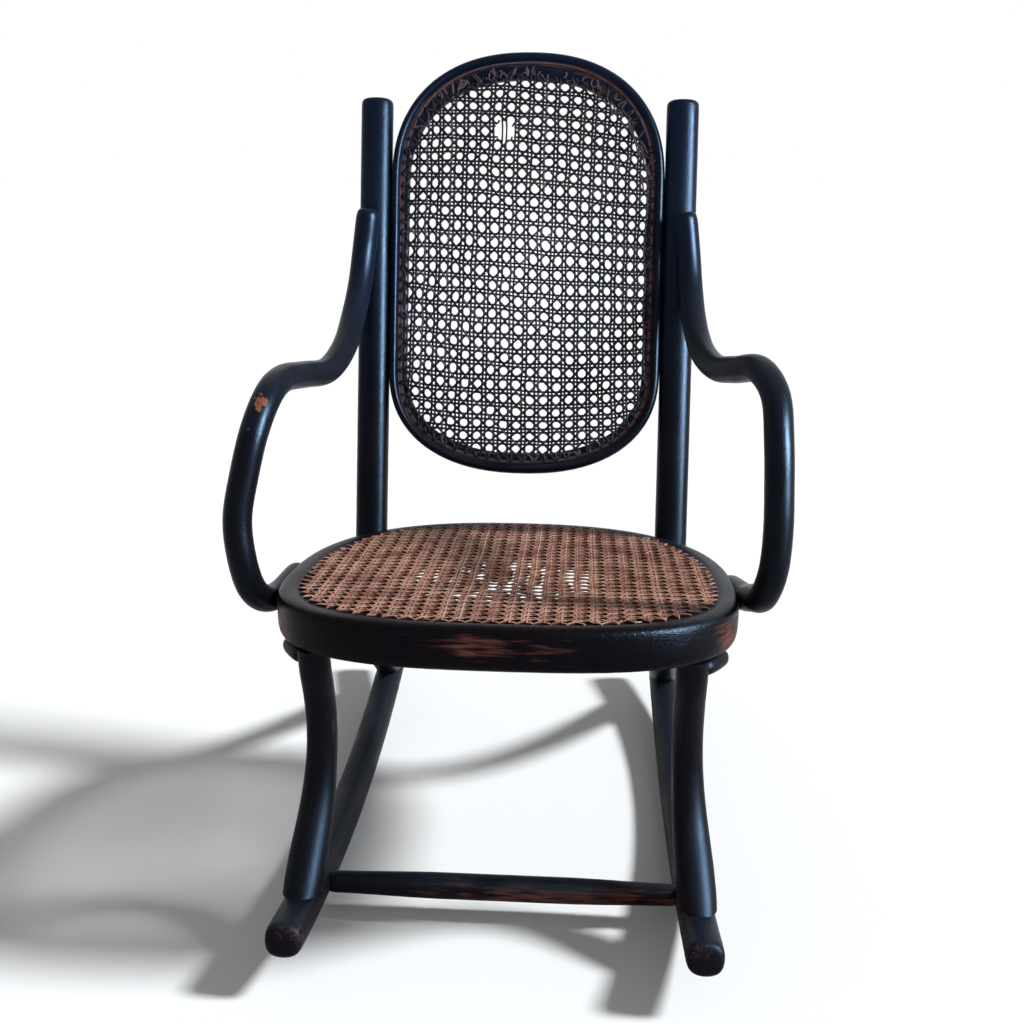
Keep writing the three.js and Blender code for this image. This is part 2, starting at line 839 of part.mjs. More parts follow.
// Seat ring with its rebate for the cane and its bores
const caneOutline = seatOutline(seatRimShown);
const ringBlank = plate(
  seatOutline(0),
  [seatOutline(ringWidth).reverse()],
  ringHeight,
  ringRounding,
).translate(0, 0, -ringHeight);
const rebate = plate(seatOutline(seatRimShown - fit), [], caneRebate + overrun, 0);
const ringGeometry = cut(
  ringBlank,
  rebate.translate(0, 0, -caneRebate),
  ...bothSides(boltBore),
  ...bothSides(washerSeat),
  ...bothSides(moved(armSeatScrewBore, armSeatScrewFrame)),
  ...bothSides(legTenonBore),
  ...blockScrewFrames.flatMap((frame) => bothSides(moved(blockScrewBore, frame))),
);
seat.add(mesh("seat_hoop", ringGeometry, wood));
const seatNet = net(caneOutline, seatOutline(ringWidth + fit), caneThickness);
seatNet.translate(0, 0, fit - caneRebate);
seat.add(mesh("seat_cane", seatNet, seatCaneLook));

// Back hoop with its rebate for the cane, both drawn lying down and turned up to face the front
const upright = new THREE.Matrix4().makeRotationX(Math.PI / 2);
const hoopBlank = plate(
  hoopOutline(0, 0, 0),
  [hoopOutline(hoopSideWidth, hoopTopWidth, hoopBottomWidth).reverse()],
  hoopDepth,
  hoopRounding,
).translate(0, 0, -hoopDepth / 2);
const backNetOutline = hoopOutline(
  hoopSideWidth - hoopRebate,
  hoopTopWidth - hoopRebate,
  hoopBottomWidth - hoopRebate,
);
const backRebateOutline = hoopOutline(
  hoopSideWidth - hoopRebate - fit,
  hoopTopWidth - hoopRebate - fit,
  hoopBottomWidth - hoopRebate - fit,
);
const netBack = hoopDepth / 2 - hoopCaneSetback;
const backRebate = plate(backRebateOutline, [], hoopDepth, 0).translate(0, 0, netBack - fit);
const hoopGeometry = cut(
  cut(hoopBlank, backRebate).applyMatrix4(upright),
  ...hoopScrewFrames.flatMap((frame) => bothSides(moved(hoopScrewBore, frame))),
);
back.add(mesh("back_hoop", hoopGeometry, wood));
const backOpening = hoopOutline(hoopSideWidth + fit, hoopTopWidth + fit, hoopBottomWidth + fit);
const backNet = net(backNetOutline, backOpening, caneThickness);
back.add(mesh("back_cane", backNet.translate(0, 0, netBack).applyMatrix4(upright), backCaneLook));

// Bent pieces of one side, cut to each other
const postGeometry = cut(
  plainPost,
  ringCutter,
  underRunnerTops,
  moved(boltBore, seatFrame),
  moved(armTopScrewBore, armTopScrewFrame.clone().premultiply(backFrame)),
  ...hoopScrewFrames.map((frame) => moved(hoopScrewBore, frame.clone().premultiply(backFrame))),
  moved(footScrewBore, footScrewFrames[1]),
);
const armCutters = [
  postCutter,
  ringCutter,
  moved(armTopScrewBore, armTopScrewFrame.clone().premultiply(backFrame)),
  moved(armSeatScrewBore, armSeatScrewFrame.clone().premultiply(seatFrame)),
];
const legGeometry = cut(
  join(cut(plainLeg, aboveRingUnderside), legTenon),
  underRunnerTops,
  moved(footScrewBore, footScrewFrames[0]),
);
const runnerCut = cut(
  runnerGeometry,
  tenonBore,
  ...footScrewFrames.map((frame) => moved(footScrewBore, frame)),
);
const blockBlank = moved(plate(blockOutline, [], blockThickness, blockRounding), blockFrame);
const blockGeometry = cut(
  blockBlank,
  legCutter,
  ...blockScrewFrames.map((frame) => moved(blockScrewBore, frame)),
);

const screwGeometry = (length) =>
  fastener(screwRadius, screwHeadRadius, screwHeadHeight, length);
const footScrewGeometry = fastener(
  footScrewRadius,
  footScrewHeadRadius,
  screwHeadHeight,
  footScrewLength,
);

function placed(made, matrix) {
  made.applyMatrix4(matrix);
  return made;
}

for (const [side, sign] of [["left", -1], ["right", 1]]) {
  const base = new THREE.Group();
  const seatSide = new THREE.Group();
  const backSide = new THREE.Group();
  for (const group of [base, seatSide, backSide]) group.scale.x = sign;
  chair.add(base);
  seat.add(seatSide);
  back.add(backSide);

  base.add(mesh(`back_post_${side}`, postGeometry, wood));
  base.add(mesh(`arm_${side}`, cut(bentArm(armShares[side]), ...armCutters), wood));
  base.add(mesh(`front_leg_${side}`, legGeometry, lowWood));
  base.add(mesh(`runner_${side}`, runnerCut, lowWood));
  footScrewFrames.forEach((frame, i) => {
    const name = `foot_screw_${side}_${["front", "rear"][i]}`;
    base.add(placed(mesh(name, footScrewGeometry, steel), frame));
  });

  seatSide.add(mesh(`leg_block_${side}`, blockGeometry, lowWood));
  blockScrewFrames.forEach((frame, i) => {
    const name = `block_screw_${side}_${i + 1}`;
    seatSide.add(placed(mesh(name, screwGeometry(blockScrewLength), steel), frame));
  });
  const armScrew = mesh(`arm_seat_screw_${side}`, screwGeometry(armSeatScrewLength), steel);
  seatSide.add(placed(armScrew, armSeatScrewFrame));

  const bolt = fastener(boltRadius, boltHeadRadius, boltHeadHeight, boltLength);
  seatSide.add(placed(mesh(`post_bolt_${side}`, bolt, steel), boltFrame));
  const washer = closedRing(boltRadius + fit, washerRadius, washerThickness, sectionSteps);
  washer.translate(0, 0, boltToFace + fit);
  seatSide.add(placed(mesh(`post_washer_${side}`, washer, steel), boltFrame));
  const nutBore = (boltRadius + fit) / Math.cos(Math.PI / 6);
  const nut = closedRing(nutBore, nutRadius, nutThickness, 6);
  nut.translate(0, 0, boltToFace + washerThickness + 2 * fit);
  seatSide.add(placed(mesh(`post_nut_${side}`, nut, steel), boltFrame));

  hoopScrewFrames.forEach((frame, i) => {
    const name = `hoop_screw_${side}_${["lower", "upper"][i]}`;
    backSide.add(placed(mesh(name, screwGeometry(hoopScrewLength), steel), frame));
  });
  const topScrew = mesh(`arm_top_screw_${side}`, screwGeometry(armTopScrewLength), steel);
  backSide.add(placed(topScrew, armTopScrewFrame));
}

const stretcherMesh = mesh("stretcher", stretcherGeometry, lowWood);
chair.add(placed(stretcherMesh, aimed(stretcherPlace, outX)));

// The chair's own box gives the origin: the middle of its floor area
const part = new THREE.Group();
part.add(chair);
part.updateMatrixWorld(true);
const box = new THREE.Box3().setFromObject(chair, true);
chair.position.set(0, -(box.min.y + box.max.y) / 2, -box.min.z);

export default part;
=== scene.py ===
import math
import random

import bmesh
import bpy
import numpy as np
from mathutils import Matrix, Vector, noise
from mathutils.kdtree import KDTree


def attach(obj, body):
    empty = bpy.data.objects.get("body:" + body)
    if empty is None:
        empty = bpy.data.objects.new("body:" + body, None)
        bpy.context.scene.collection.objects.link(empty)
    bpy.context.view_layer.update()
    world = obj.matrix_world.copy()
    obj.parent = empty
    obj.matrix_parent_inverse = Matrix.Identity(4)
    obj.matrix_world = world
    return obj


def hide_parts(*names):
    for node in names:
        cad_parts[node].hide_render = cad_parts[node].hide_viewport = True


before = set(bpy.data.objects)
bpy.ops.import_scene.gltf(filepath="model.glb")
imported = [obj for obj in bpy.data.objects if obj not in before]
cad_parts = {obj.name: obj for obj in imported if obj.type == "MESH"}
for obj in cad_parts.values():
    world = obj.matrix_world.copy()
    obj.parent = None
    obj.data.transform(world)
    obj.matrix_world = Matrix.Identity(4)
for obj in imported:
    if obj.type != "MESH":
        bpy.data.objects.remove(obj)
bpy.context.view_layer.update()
bpy.ops.object.select_all(action="DESELECT")

# Without a seed of its own the noise starts from the clock, and each run would weave the cane a little differently
noise.seed_set(5)

# The chair's own depths are counted from the middle of the seat ring, which lies before the middle of the CAD's box
BOX_MIDDLE_DEPTH = 80.95819
SETTLED = Matrix.Diagonal((0.001, 0.001, 0.001, 1)) @ Matrix.Translation((0, -BOX_MIDDLE_DEPTH, 0))

# Sizes in millimetres and angles in radians: the seat
SEAT_HALF_WIDTH, SEAT_FRONT, SEAT_BACK = 212, 167, 241
SEAT_FRONT_POWER, SEAT_BACK_POWER = 2.9, 2.4
SEAT_HEIGHT, SEAT_TILT = 306, math.radians(5.1)
RING_HEIGHT, RING_WIDTH = 40, 31
WIDEST = SEAT_FRONT - (SEAT_FRONT + SEAT_BACK) / 2

# The back
POST_X, POST_WIDTH, POST_DEPTH = 165, 34.5, 30
POST_RISE, POST_BEHIND_RING, RECLINE = 487, 15, math.radians(13.65)
HOOP_LIFT, HOOP_HEIGHT, HOOP_HALF_WIDTH = 84, 452, 147.45
HOOP_TOP_END, HOOP_BOTTOM_END, HOOP_POWER = 135, 110, 2.3
HOOP_SIDE, HOOP_TOP, HOOP_BOTTOM = 19, 27, 22

# Runners, legs, arms and stretcher
RUNNER_X, RUNNER_WIDTH, RUNNER_HEIGHT = 178, 33, 32
ROCKER_RADIUS, REST_DEPTH, RUNNER_FRONT, RUNNER_BACK, NOSE = 1450, 75, 258, 420, 9
LEG_X, LEG_TOP_WIDTH, LEG_FOOT_WIDTH, LEG_BOW, LEG_KICK = 164, 28, 35, 30, 40
REAR_FOOT_DEPTH = 333
BLOCK_LENGTH, BLOCK_WIDTH, BLOCK_THICKNESS, BLOCK_OUT, BLOCK_BACK = 54, 34, 15, 13, 22
ARM_THICKNESS, ARM_TOP_LIFT, ARM_X, ARM_FRONT = 25.5, 352, 234, 121
ARM_SEAT_DROP, ARM_SEAT_FLAT, ARM_SEAT_DEPTH = 15, 11, -5
STRETCHER_DEPTH, STRETCHER_THICKNESS, STRETCHER_END_THICKNESS = 129, 24, 20


def seat_depth_at(half_width, inset, at_back):
    """Depth of the seat's outline, drawn in by an inset, at a half width."""
    power = SEAT_BACK_POWER if at_back else SEAT_FRONT_POWER
    reach = (SEAT_BACK if at_back else SEAT_FRONT) - inset
    rest = 1 - (half_width / (SEAT_HALF_WIDTH - inset)) ** power
    return WIDEST + (1 if at_back else -1) * reach * rest ** (1 / power)


def seat_half_width_at(depth):
    """Half the width of the seat's outline at a depth."""
    at_back = depth > WIDEST
    power = SEAT_BACK_POWER if at_back else SEAT_FRONT_POWER
    reach = SEAT_BACK if at_back else SEAT_FRONT
    return SEAT_HALF_WIDTH * (1 - (abs(depth - WIDEST) / reach) ** power) ** (1 / power)


SEAT = Matrix.Translation((0, 0, SEAT_HEIGHT)) @ Matrix.Rotation(-SEAT_TILT, 4, "X")
POST_SEAT_DEPTH = seat_depth_at(POST_X, 0, True) + POST_BEHIND_RING
BACK = Matrix.Translation(SEAT @ Vector((0, POST_SEAT_DEPTH, -RING_HEIGHT / 2))) @ Matrix.Rotation(-RECLINE, 4, "X")
# The hoop's own plane: X across, Y up, Z out of its front
HOOP = BACK @ Matrix.Rotation(math.pi / 2, 4, "X")


# Outlines and paths
def signed_power(value, power):
    return math.copysign(abs(value) ** power, value)


def evenly(points, count, closed=False):
    """The same line with its points at even distances."""
    points = np.array([tuple(p) for p in points], float)
    if closed:
        points = np.vstack([points, points[:1]])
    run = np.concatenate([[0], np.cumsum(np.linalg.norm(np.diff(points, axis=0), axis=1))])
    at = np.linspace(0, run[-1], count + 1 if closed else count)
    spread = np.stack([np.interp(at, run, points[:, i]) for i in range(points.shape[1])], 1)
    return [Vector(p) for p in (spread[:-1] if closed else spread)]


def seat_outline(inset, count):
    points = []
    for i in range(1440):
        angle = 2 * math.pi * i / 1440 + math.pi / 2
        at_back = math.sin(angle) > 0
        power = SEAT_BACK_POWER if at_back else SEAT_FRONT_POWER
        reach = (SEAT_BACK if at_back else SEAT_FRONT) - inset
        x = (SEAT_HALF_WIDTH - inset) * signed_power(math.cos(angle), 2 / power)
        y = WIDEST + reach * signed_power(math.sin(angle), 2 / power)
        points.append((x, y, 0))
    return evenly(points, count, closed=True)


def hoop_outline(side, top, bottom, count):
    """The hoop's outline in its own plane, drawn in by three widths."""
    straight = HOOP_HEIGHT - HOOP_TOP_END - HOOP_BOTTOM_END
    points = []
    for i in range(1440):
        angle = 2 * math.pi * i / 1440 - math.pi / 2
        up = math.sin(angle) > 0
        x = (HOOP_HALF_WIDTH - side) * signed_power(math.cos(angle), 2 / HOOP_POWER)
        reach = HOOP_TOP_END - top if up else HOOP_BOTTOM_END - bottom
        y = reach * signed_power(math.sin(angle), 2 / HOOP_POWER) + (straight if up else 0)
        points.append((x, y + HOOP_LIFT + HOOP_BOTTOM_END, 0))
    return evenly(points, count, closed=True)


def smooth_path(points, steps=24):
    """A centripetal spline through the points."""
    points = [Vector(p) for p in points]
    ends = [2 * points[0] - points[1], *points, 2 * points[-1] - points[-2]]
    path = []
    for p0, p1, p2, p3 in zip(ends, ends[1:], ends[2:], ends[3:]):
        t1 = (p1 - p0).length ** 0.5
        t2 = t1 + (p2 - p1).length ** 0.5
        t3 = t2 + (p3 - p2).length ** 0.5
        for i in range(steps):
            t = t1 + (t2 - t1) * i / steps
            a1 = p0 * (t1 - t) / t1 + p1 * t / t1
            a2 = p1 * (t2 - t) / (t2 - t1) + p2 * (t - t1) / (t2 - t1)
            a3 = p2 * (t3 - t) / (t3 - t2) + p3 * (t - t2) / (t3 - t2)
            b1 = a1 * (t2 - t) / t2 + a2 * t / t2
            b2 = a2 * (t3 - t) / (t3 - t1) + a3 * (t - t1) / (t3 - t1)
            path.append(b1 * (t2 - t) / (t2 - t1) + b2 * (t - t1) / (t2 - t1))
    return [*path, points[-1]]


def lerp(a, b, share):
    return a + (b - a) * share


def smoothstep(value, low, high):
    share = min(max((value - low) / (high - low), 0), 1)
    return share * share * (3 - 2 * share)


def headings(path, closed=False):
    count = len(path)
    made = []
    for i in range(count):
        before = path[i - 1] if closed or i else path[0]
        after = path[(i + 1) % count] if closed or i < count - 1 else path[-1]
        made.append((after - before).normalized())
    return made


def frames_along(path, across=Vector((1, 0, 0))):
    """A frame at each point of a path: X across it, Y up from it, Z along it."""
    frames = []
    for place, heading in zip(path, headings(path)):
        side = (across - heading * across.dot(heading)).normalized()
        turn = Matrix((side, heading.cross(side), heading)).transposed().to_4x4()
        frames.append(Matrix.Translation(place) @ turn)
    return frames


def edge_frames(outline, plane):
    """A frame at each point of a closed outline: X towards its middle, Y out of its plane, Z along it."""
    frames = []
    for place, heading in zip(outline, headings(outline, True)):
        up = Vector((0, 0, 1))
        turn = Matrix((up.cross(heading), up, heading)).transposed().to_4x4()
        frames.append(plane @ Matrix.Translation(place) @ turn)
    return frames


# Modelling by rings of points, extruded from station to station
def rounded_square(corner):
    """Eight points of a unit square with its corners cut, grown by what subdividing draws in."""
    half = 0.5 / (1 - corner / 12)
    cut = half - corner
    return [
        (half, -cut), (half, cut), (cut, half), (-cut, half),
        (-half, cut), (-half, -cut), (-cut, -half), (cut, -half),
    ]


def edit(piece):
    """Opens a piece in edit mode with all of it selected."""
    bpy.ops.object.select_all(action="DESELECT")
    bpy.context.view_layer.objects.active = piece
    piece.select_set(True)
    bpy.ops.object.mode_set(mode="EDIT")
    bpy.ops.mesh.select_all(action="SELECT")


def subdivide(piece, levels=2):
    shape = piece.modifiers.new("Subdivision", "SUBSURF")
    shape.levels = shape.render_levels = levels
    bpy.context.view_layer.objects.active = piece
    bpy.ops.object.modifier_apply(modifier=shape.name)


def run_of_rings(name, rings, closed=False):
    """A piece made of one ring of points extruded to each next ring, capped or joined up, and subdivided."""
    bpy.ops.object.select_all(action="DESELECT")
    bpy.ops.mesh.primitive_circle_add(vertices=len(rings[0]), radius=1, enter_editmode=True)
    piece = bpy.context.object
    piece.name = piece.data.name = name
    mesh = bmesh.from_edit_mesh(piece.data)
    mesh.verts.ensure_lookup_table()
    for vertex, place in zip(mesh.verts, rings[0]):
        vertex.co = place
    bmesh.update_edit_mesh(piece.data)
    last = rings[0]
    for ring in [*rings[1:], rings[0]] if closed else rings[1:]:
        bpy.ops.mesh.extrude_edges_move()
        mesh = bmesh.from_edit_mesh(piece.data)
        for vertex in (v for v in mesh.verts if v.select):
            nearest = min(range(len(last)), key=lambda i: (last[i] - vertex.co).length_squared)
            vertex.co = ring[nearest]
        bmesh.update_edit_mesh(piece.data)
        last = ring
    bpy.ops.mesh.select_all(action="SELECT")
    if closed:
        bpy.ops.mesh.remove_doubles(threshold=0.01)
    else:
        bpy.ops.mesh.fill_holes(sides=0)
    bpy.ops.mesh.normals_make_consistent(inside=False)
    bpy.ops.object.mode_set(mode="OBJECT")
    subdivide(piece)
    return piece


def placed_rings(frames, profile, sizes):
    return [[here @ Vector((x * w, y * h, 0)) for x, y in profile] for here, (w, h) in zip(frames, sizes)]


def cut_flat(piece, place, normal):
    """Planes off what lies past a plane, on the side that its normal points to, and closes the cut."""
    edit(piece)
    bpy.ops.mesh.bisect(plane_co=place, plane_no=normal, clear_outer=True, use_fill=True)
    bpy.ops.object.mode_set(mode="OBJECT")


END_SHARES = [(0, 0.45), (0.06, 0.7), (0.22, 0.88), (0.55, 0.975)]


def rod(name, path, width_at, height_at, corner, start_round=0, end_round=0, stations=40):
    """A rod along a path, with sizes given along it and its ends rounded over a length, and its grain."""
    path = evenly(path, stations)
    frames = frames_along(path)
    shares = [i / (stations - 1) for i in range(stations)]
    sizes = [(width_at(s), height_at(s)) for s in shares]
    for end, length in ((0, start_round), (-1, end_round)):
        if not length:
            continue
        here, (w, h) = frames[end], sizes[end]
        way = 1 if end else -1
        tips = [(here @ Matrix.Translation((0, 0, way * (1 - s) * length)), (w * k, h * k)) for s, k in END_SHARES]
        if end:
            frames += [t[0] for t in reversed(tips)]
            sizes += [t[1] for t in reversed(tips)]
        else:
            frames = [t[0] for t in tips] + frames
            sizes = [t[1] for t in tips] + sizes
    piece = run_of_rings(name, placed_rings(frames, rounded_square(corner), sizes))
    return piece, frames_along(evenly(path, 500))


# What the finishes read from a piece: its grain, and shares of wear and dust
def store_grain(piece, frames):
    """Where each vertex lay in the straight rod before it was bent: along the grain, and across it, in metres."""
    tree = KDTree(len(frames))
    run = [0.0]
    for i, here in enumerate(frames):
        tree.insert(here.translation, i)
        if i:
            run.append(run[-1] + (here.translation - frames[i - 1].translation).length)
    tree.balance()
    grain = np.zeros((len(piece.data.vertices), 3))
    for vertex in piece.data.vertices:
        _, i, _ = tree.find(vertex.co)
        local = frames[i].inverted() @ vertex.co
        grain[vertex.index] = (run[i] + local.z, local.x, local.y)
    stored = piece.data.attributes.new("grain", "FLOAT_VECTOR", "POINT")
    stored.data.foreach_set("vector", (grain * 0.001).ravel())


def store_share(piece, name, share_at):
    """A share at each vertex, worked out from its place and its normal."""
    stored = piece.data.attributes.new(name, "FLOAT", "POINT")
    stored.data.foreach_set("value", [share_at(v.co, v.normal) for v in piece.data.vertices])


def near(place, spot, reach):
    """1 at a spot, falling to 0 at a reach from it, given along each axis."""
    gap = Vector(((place[i] - spot[i]) / reach[i] for i in range(3)))
    return 1 - smoothstep(gap.length, 0, 1)


def mirrored(piece, name):
    """A copy with its own mesh on the other side of the chair."""
    copy = piece.copy()
    copy.data = piece.data.copy()
    copy.name = copy.data.name = name
    bpy.context.collection.objects.link(copy)
    copy.data.transform(Matrix.Diagonal((-1, 1, 1, 1)))
    copy.data.flip_normals()
    return copy


def no_wear(place, normal):
    return 0.0


def all_over(place):
    return 1.0


def finish_piece(piece, material, slot, *nodes, rubbed=no_wear, bare=no_wear, dust_and_sheen_share=all_over, angle=40):
    """Stores a piece's wear and its share of dust and painted sheen, settles it, smooths it, colours it and hands it
    over.
    """
    # painted sheen: this share lightens upward faces both as dust and as a painted sheen of light from above
    store_share(piece, "dust", lambda place, normal: dust_and_sheen_share(place) * smoothstep(normal.z, 0.3, 0.95))
    store_share(piece, "rubbed", rubbed)
    store_share(piece, "bare", bare)
    piece.data.transform(SETTLED)
    bpy.ops.object.select_all(action="DESELECT")
    bpy.context.view_layer.objects.active = piece
    piece.select_set(True)
    bpy.ops.object.shade_smooth_by_angle(angle=math.radians(angle))
    piece.data.materials.clear()
    piece.data.materials.append(material)
    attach(piece, "root")
    if nodes:
        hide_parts(*nodes)


# Finishes
def linear(code):
    """An sRGB hex colour as linear RGBA."""
    values = [int(code[i : i + 2], 16) / 255 for i in (1, 3, 5)]
    return (*[v / 12.92 if v <= 0.04045 else ((v + 0.055) / 1.055) ** 2.4 for v in values], 1)


def add(material, kind, settings=None, **links):
    """Adds a node with its settings, and links: socket=value or socket=(node, output), _0 for the first socket."""
    tree = material.node_tree
    node = tree.nodes.new("ShaderNode" + kind)
    for key, value in (settings or {}).items():
        setattr(node, key, value)
    for key, value in links.items():
        socket = node.inputs[int(key[1:]) if key[0] == "_" else key.replace("_", " ")]
        if isinstance(value, tuple) and isinstance(value[0], bpy.types.Node):
            tree.links.new(value[0].outputs[value[1]], socket)
        else:
            socket.default_value = value
    return node


def new_material(name):
    material = bpy.data.materials.new(name)
    material.use_nodes = True
    material.node_tree.nodes.clear()
    return material


def finish_material(material, shader):
    out = add(material, "OutputMaterial")
    material.node_tree.links.new(shader.outputs[0], out.inputs["Surface"])
    return material


SMOOTH, COLOURS = {"interpolation_type": "SMOOTHSTEP"}, {"data_type": "RGBA"}
TIMES, TIMES_PLUS = {"operation": "MULTIPLY"}, {"operation": "MULTIPLY_ADD"}


def blackened_beech(name, deep, brown, dust, wear, roughness, gloss, crackle):
    """Beech stained black and polished with shellac by hand. The film is hard, thin and finely crackled, so lights
    break up in it; it is cloudy where hands rubbed it and worn through to reddish brown in streaks along the grain;
    grey dust and a painted sheen lighten what faces up, the black is tinted as a painted reflection, and where
    it was knocked off the bare wood shows orange."""
    material = new_material(name)
    grain = add(material, "Attribute", {"attribute_name": "grain"})
    rubbed = add(material, "Attribute", {"attribute_name": "rubbed"})
    bare = add(material, "Attribute", {"attribute_name": "bare"})
    dust_and_sheen_share = add(material, "Attribute", {"attribute_name": "dust"})
    # streaks about 3 mm apart, drawn out 12 times along the grain
    drawn = add(material, "VectorMath", TIMES, _0=(grain, "Vector"), _1=(28, 330, 330))
    streaks = add(material, "TexNoise", Vector=(drawn, 0), Scale=1.0, Detail=5.0, Roughness=0.62)
    clouds = add(material, "TexNoise", Vector=(grain, "Vector"), Scale=16.0, Detail=3.0, Roughness=0.55)
    both = add(material, "Math", TIMES_PLUS, _0=(clouds, 0), _1=0.9, _2=(streaks, 0))
    worn = add(material, "Math", TIMES_PLUS, _0=(rubbed, "Fac"), _1=0.6, _2=(both, 0))
    through = add(material, "MapRange", SMOOTH, Value=(worn, 0), From_Min=wear, From_Max=wear + 0.3)
    # pores are 0.15 mm wide and some millimetres long, drawn 0.5 mm wide so that they show
    fine = add(material, "VectorMath", TIMES, _0=(grain, "Vector"), _1=(160, 2000, 2000))
    pores = add(material, "TexNoise", Vector=(fine, 0), Scale=1.0, Detail=2.0, Roughness=0.5)
    # chips have ragged edges of about 2 mm
    ragged = add(material, "TexNoise", Vector=(grain, "Vector"), Scale=260.0, Detail=3.0, Roughness=0.6)
    edge = add(material, "Math", TIMES_PLUS, _0=(ragged, 0), _1=2.4, _2=(bare, "Fac"))
    chipped = add(material, "MapRange", SMOOTH, Value=(edge, 0), From_Min=1.84, From_Max=2.0)
    # dust and the painted sheen on upward faces vary in clouds of 8 mm
    drift = add(material, "TexNoise", Vector=(grain, "Vector"), Scale=120.0, Detail=4.0, Roughness=0.6)
    grey = add(material, "Mix", COLOURS, _0=(drift, 0), _6=linear(dust[0]), _7=linear(dust[1]))
    cover = add(material, "MapRange", Value=(drift, 0), From_Min=0.3, From_Max=0.7, To_Min=0.75, To_Max=1.0)
    dust_and_sheen_cover = add(material, "Math", TIMES, _0=(cover, 0), _1=(dust_and_sheen_share, "Fac"))
    # painted reflection: the black is tinted reddish low down and bluish from the seat up, standing in for warm
    # surroundings and sky seen in the polish
    place = add(material, "SeparateXYZ", _0=(add(material, "TexCoord"), "Object"))
    height = add(material, "MapRange", SMOOTH, Value=(place, "Z"), From_Min=0.36, From_Max=0.68)
    uneven = add(material, "Math", TIMES_PLUS, _0=(clouds, 0), _1=0.5, _2=(height, 0))
    painted_sky_share = add(material, "MapRange", Value=(uneven, 0), From_Min=0.1, From_Max=1.3)
    black_with_painted_reflection = add(material, "Mix", COLOURS, _0=(painted_sky_share, 0), _6=linear(deep[0]), _7=linear(deep[1]))
    fibres = add(material, "MapRange", SMOOTH, Value=(streaks, 0), From_Min=0.36, From_Max=0.66)
    wood = add(material, "Mix", COLOURS, _0=(fibres, 0), _6=linear(brown[0]), _7=linear(brown[1]))
    stained = add(material, "Mix", COLOURS, _0=(through, 0), _6=(black_with_painted_reflection, 2), _7=(wood, 2))
    with_dust_and_sheen = add(material, "Mix", COLOURS, _0=(dust_and_sheen_cover, 0), _6=(stained, 2), _7=(grey, 2))
    fresh = add(material, "Mix", COLOURS, _0=(ragged, 0), _6=linear("#4a2c25"), _7=linear("#9c6247"))
    colour = add(material, "Mix", COLOURS, _0=(chipped, 0), _6=(with_dust_and_sheen, 2), _7=(fresh, 2))
    low, high = roughness
    film = add(material, "MapRange", Value=(clouds, 0), From_Min=0.3, From_Max=0.7, To_Min=low, To_Max=high)
    rough = add(material, "Math", TIMES_PLUS | {"use_clamp": True}, _0=(through, 0), _1=0.2, _2=(film, 0))
    # crackle: cells of the shellac film about 2 mm wide and 5 mm long
    cells_at = add(material, "VectorMath", TIMES, _0=(grain, "Vector"), _1=(200, 500, 500))
    cells = add(material, "TexVoronoi", {"feature": "DISTANCE_TO_EDGE"}, Vector=(cells_at, 0), Scale=1.0)
    flat = add(material, "MapRange", SMOOTH, Value=(cells, 0), From_Min=0.0, From_Max=0.12)
    film_high = add(material, "Math", TIMES, _0=(flat, 0), _1=crackle)
    grained = add(material, "Math", TIMES_PLUS, _0=(pores, 0), _1=0.35, _2=(streaks, 0))
    surface = add(material, "Math", {"operation": "ADD"}, _0=(film_high, 0), _1=(grained, 0))
    bump = add(material, "Bump", Height=(surface, 0), Strength=0.16, Distance=0.0006)
    shader = add(material, "BsdfPrincipled", Base_Color=(colour, 2), Roughness=(rough, 0), Normal=(bump, 0))
    shader.inputs["Specular IOR Level"].default_value = gloss
    shader.inputs["Specular Tint"].default_value = (0.6, 0.76, 1.0, 1)
    return finish_material(material, shader)


# Pairs of colours: dark and light streaks of the worn wood, thin and thick dust with painted sheen, and the black low
# down and high up, tinted as painted reflection
BROWN, RING_BROWN = ("#22100d", "#5c362a"), ("#1a0c0c", "#6a3c30")
ARM_DUST_AND_SHEEN, RING_DUST_AND_SHEEN = ("#12161d", "#1c222b"), ("#151a23", "#282e39")
rod_beech = blackened_beech("ebonised_beech", ("#0b0708", "#111a2d"), BROWN, ARM_DUST_AND_SHEEN, 1.22, (0.26, 0.38), 0.06, 0.5)
low_beech = blackened_beech(
    "ebonised_beech_scuffed", ("#0f080a", "#10131f"), BROWN, ARM_DUST_AND_SHEEN, 1.12, (0.36, 0.52), 0.045, 0.6
)
ring_beech = blackened_beech(
    "ebonised_beech_worn", ("#0c0607", "#0f0b10"), RING_BROWN, RING_DUST_AND_SHEEN, 1.22, (0.24, 0.36), 0.042, 6.0
)


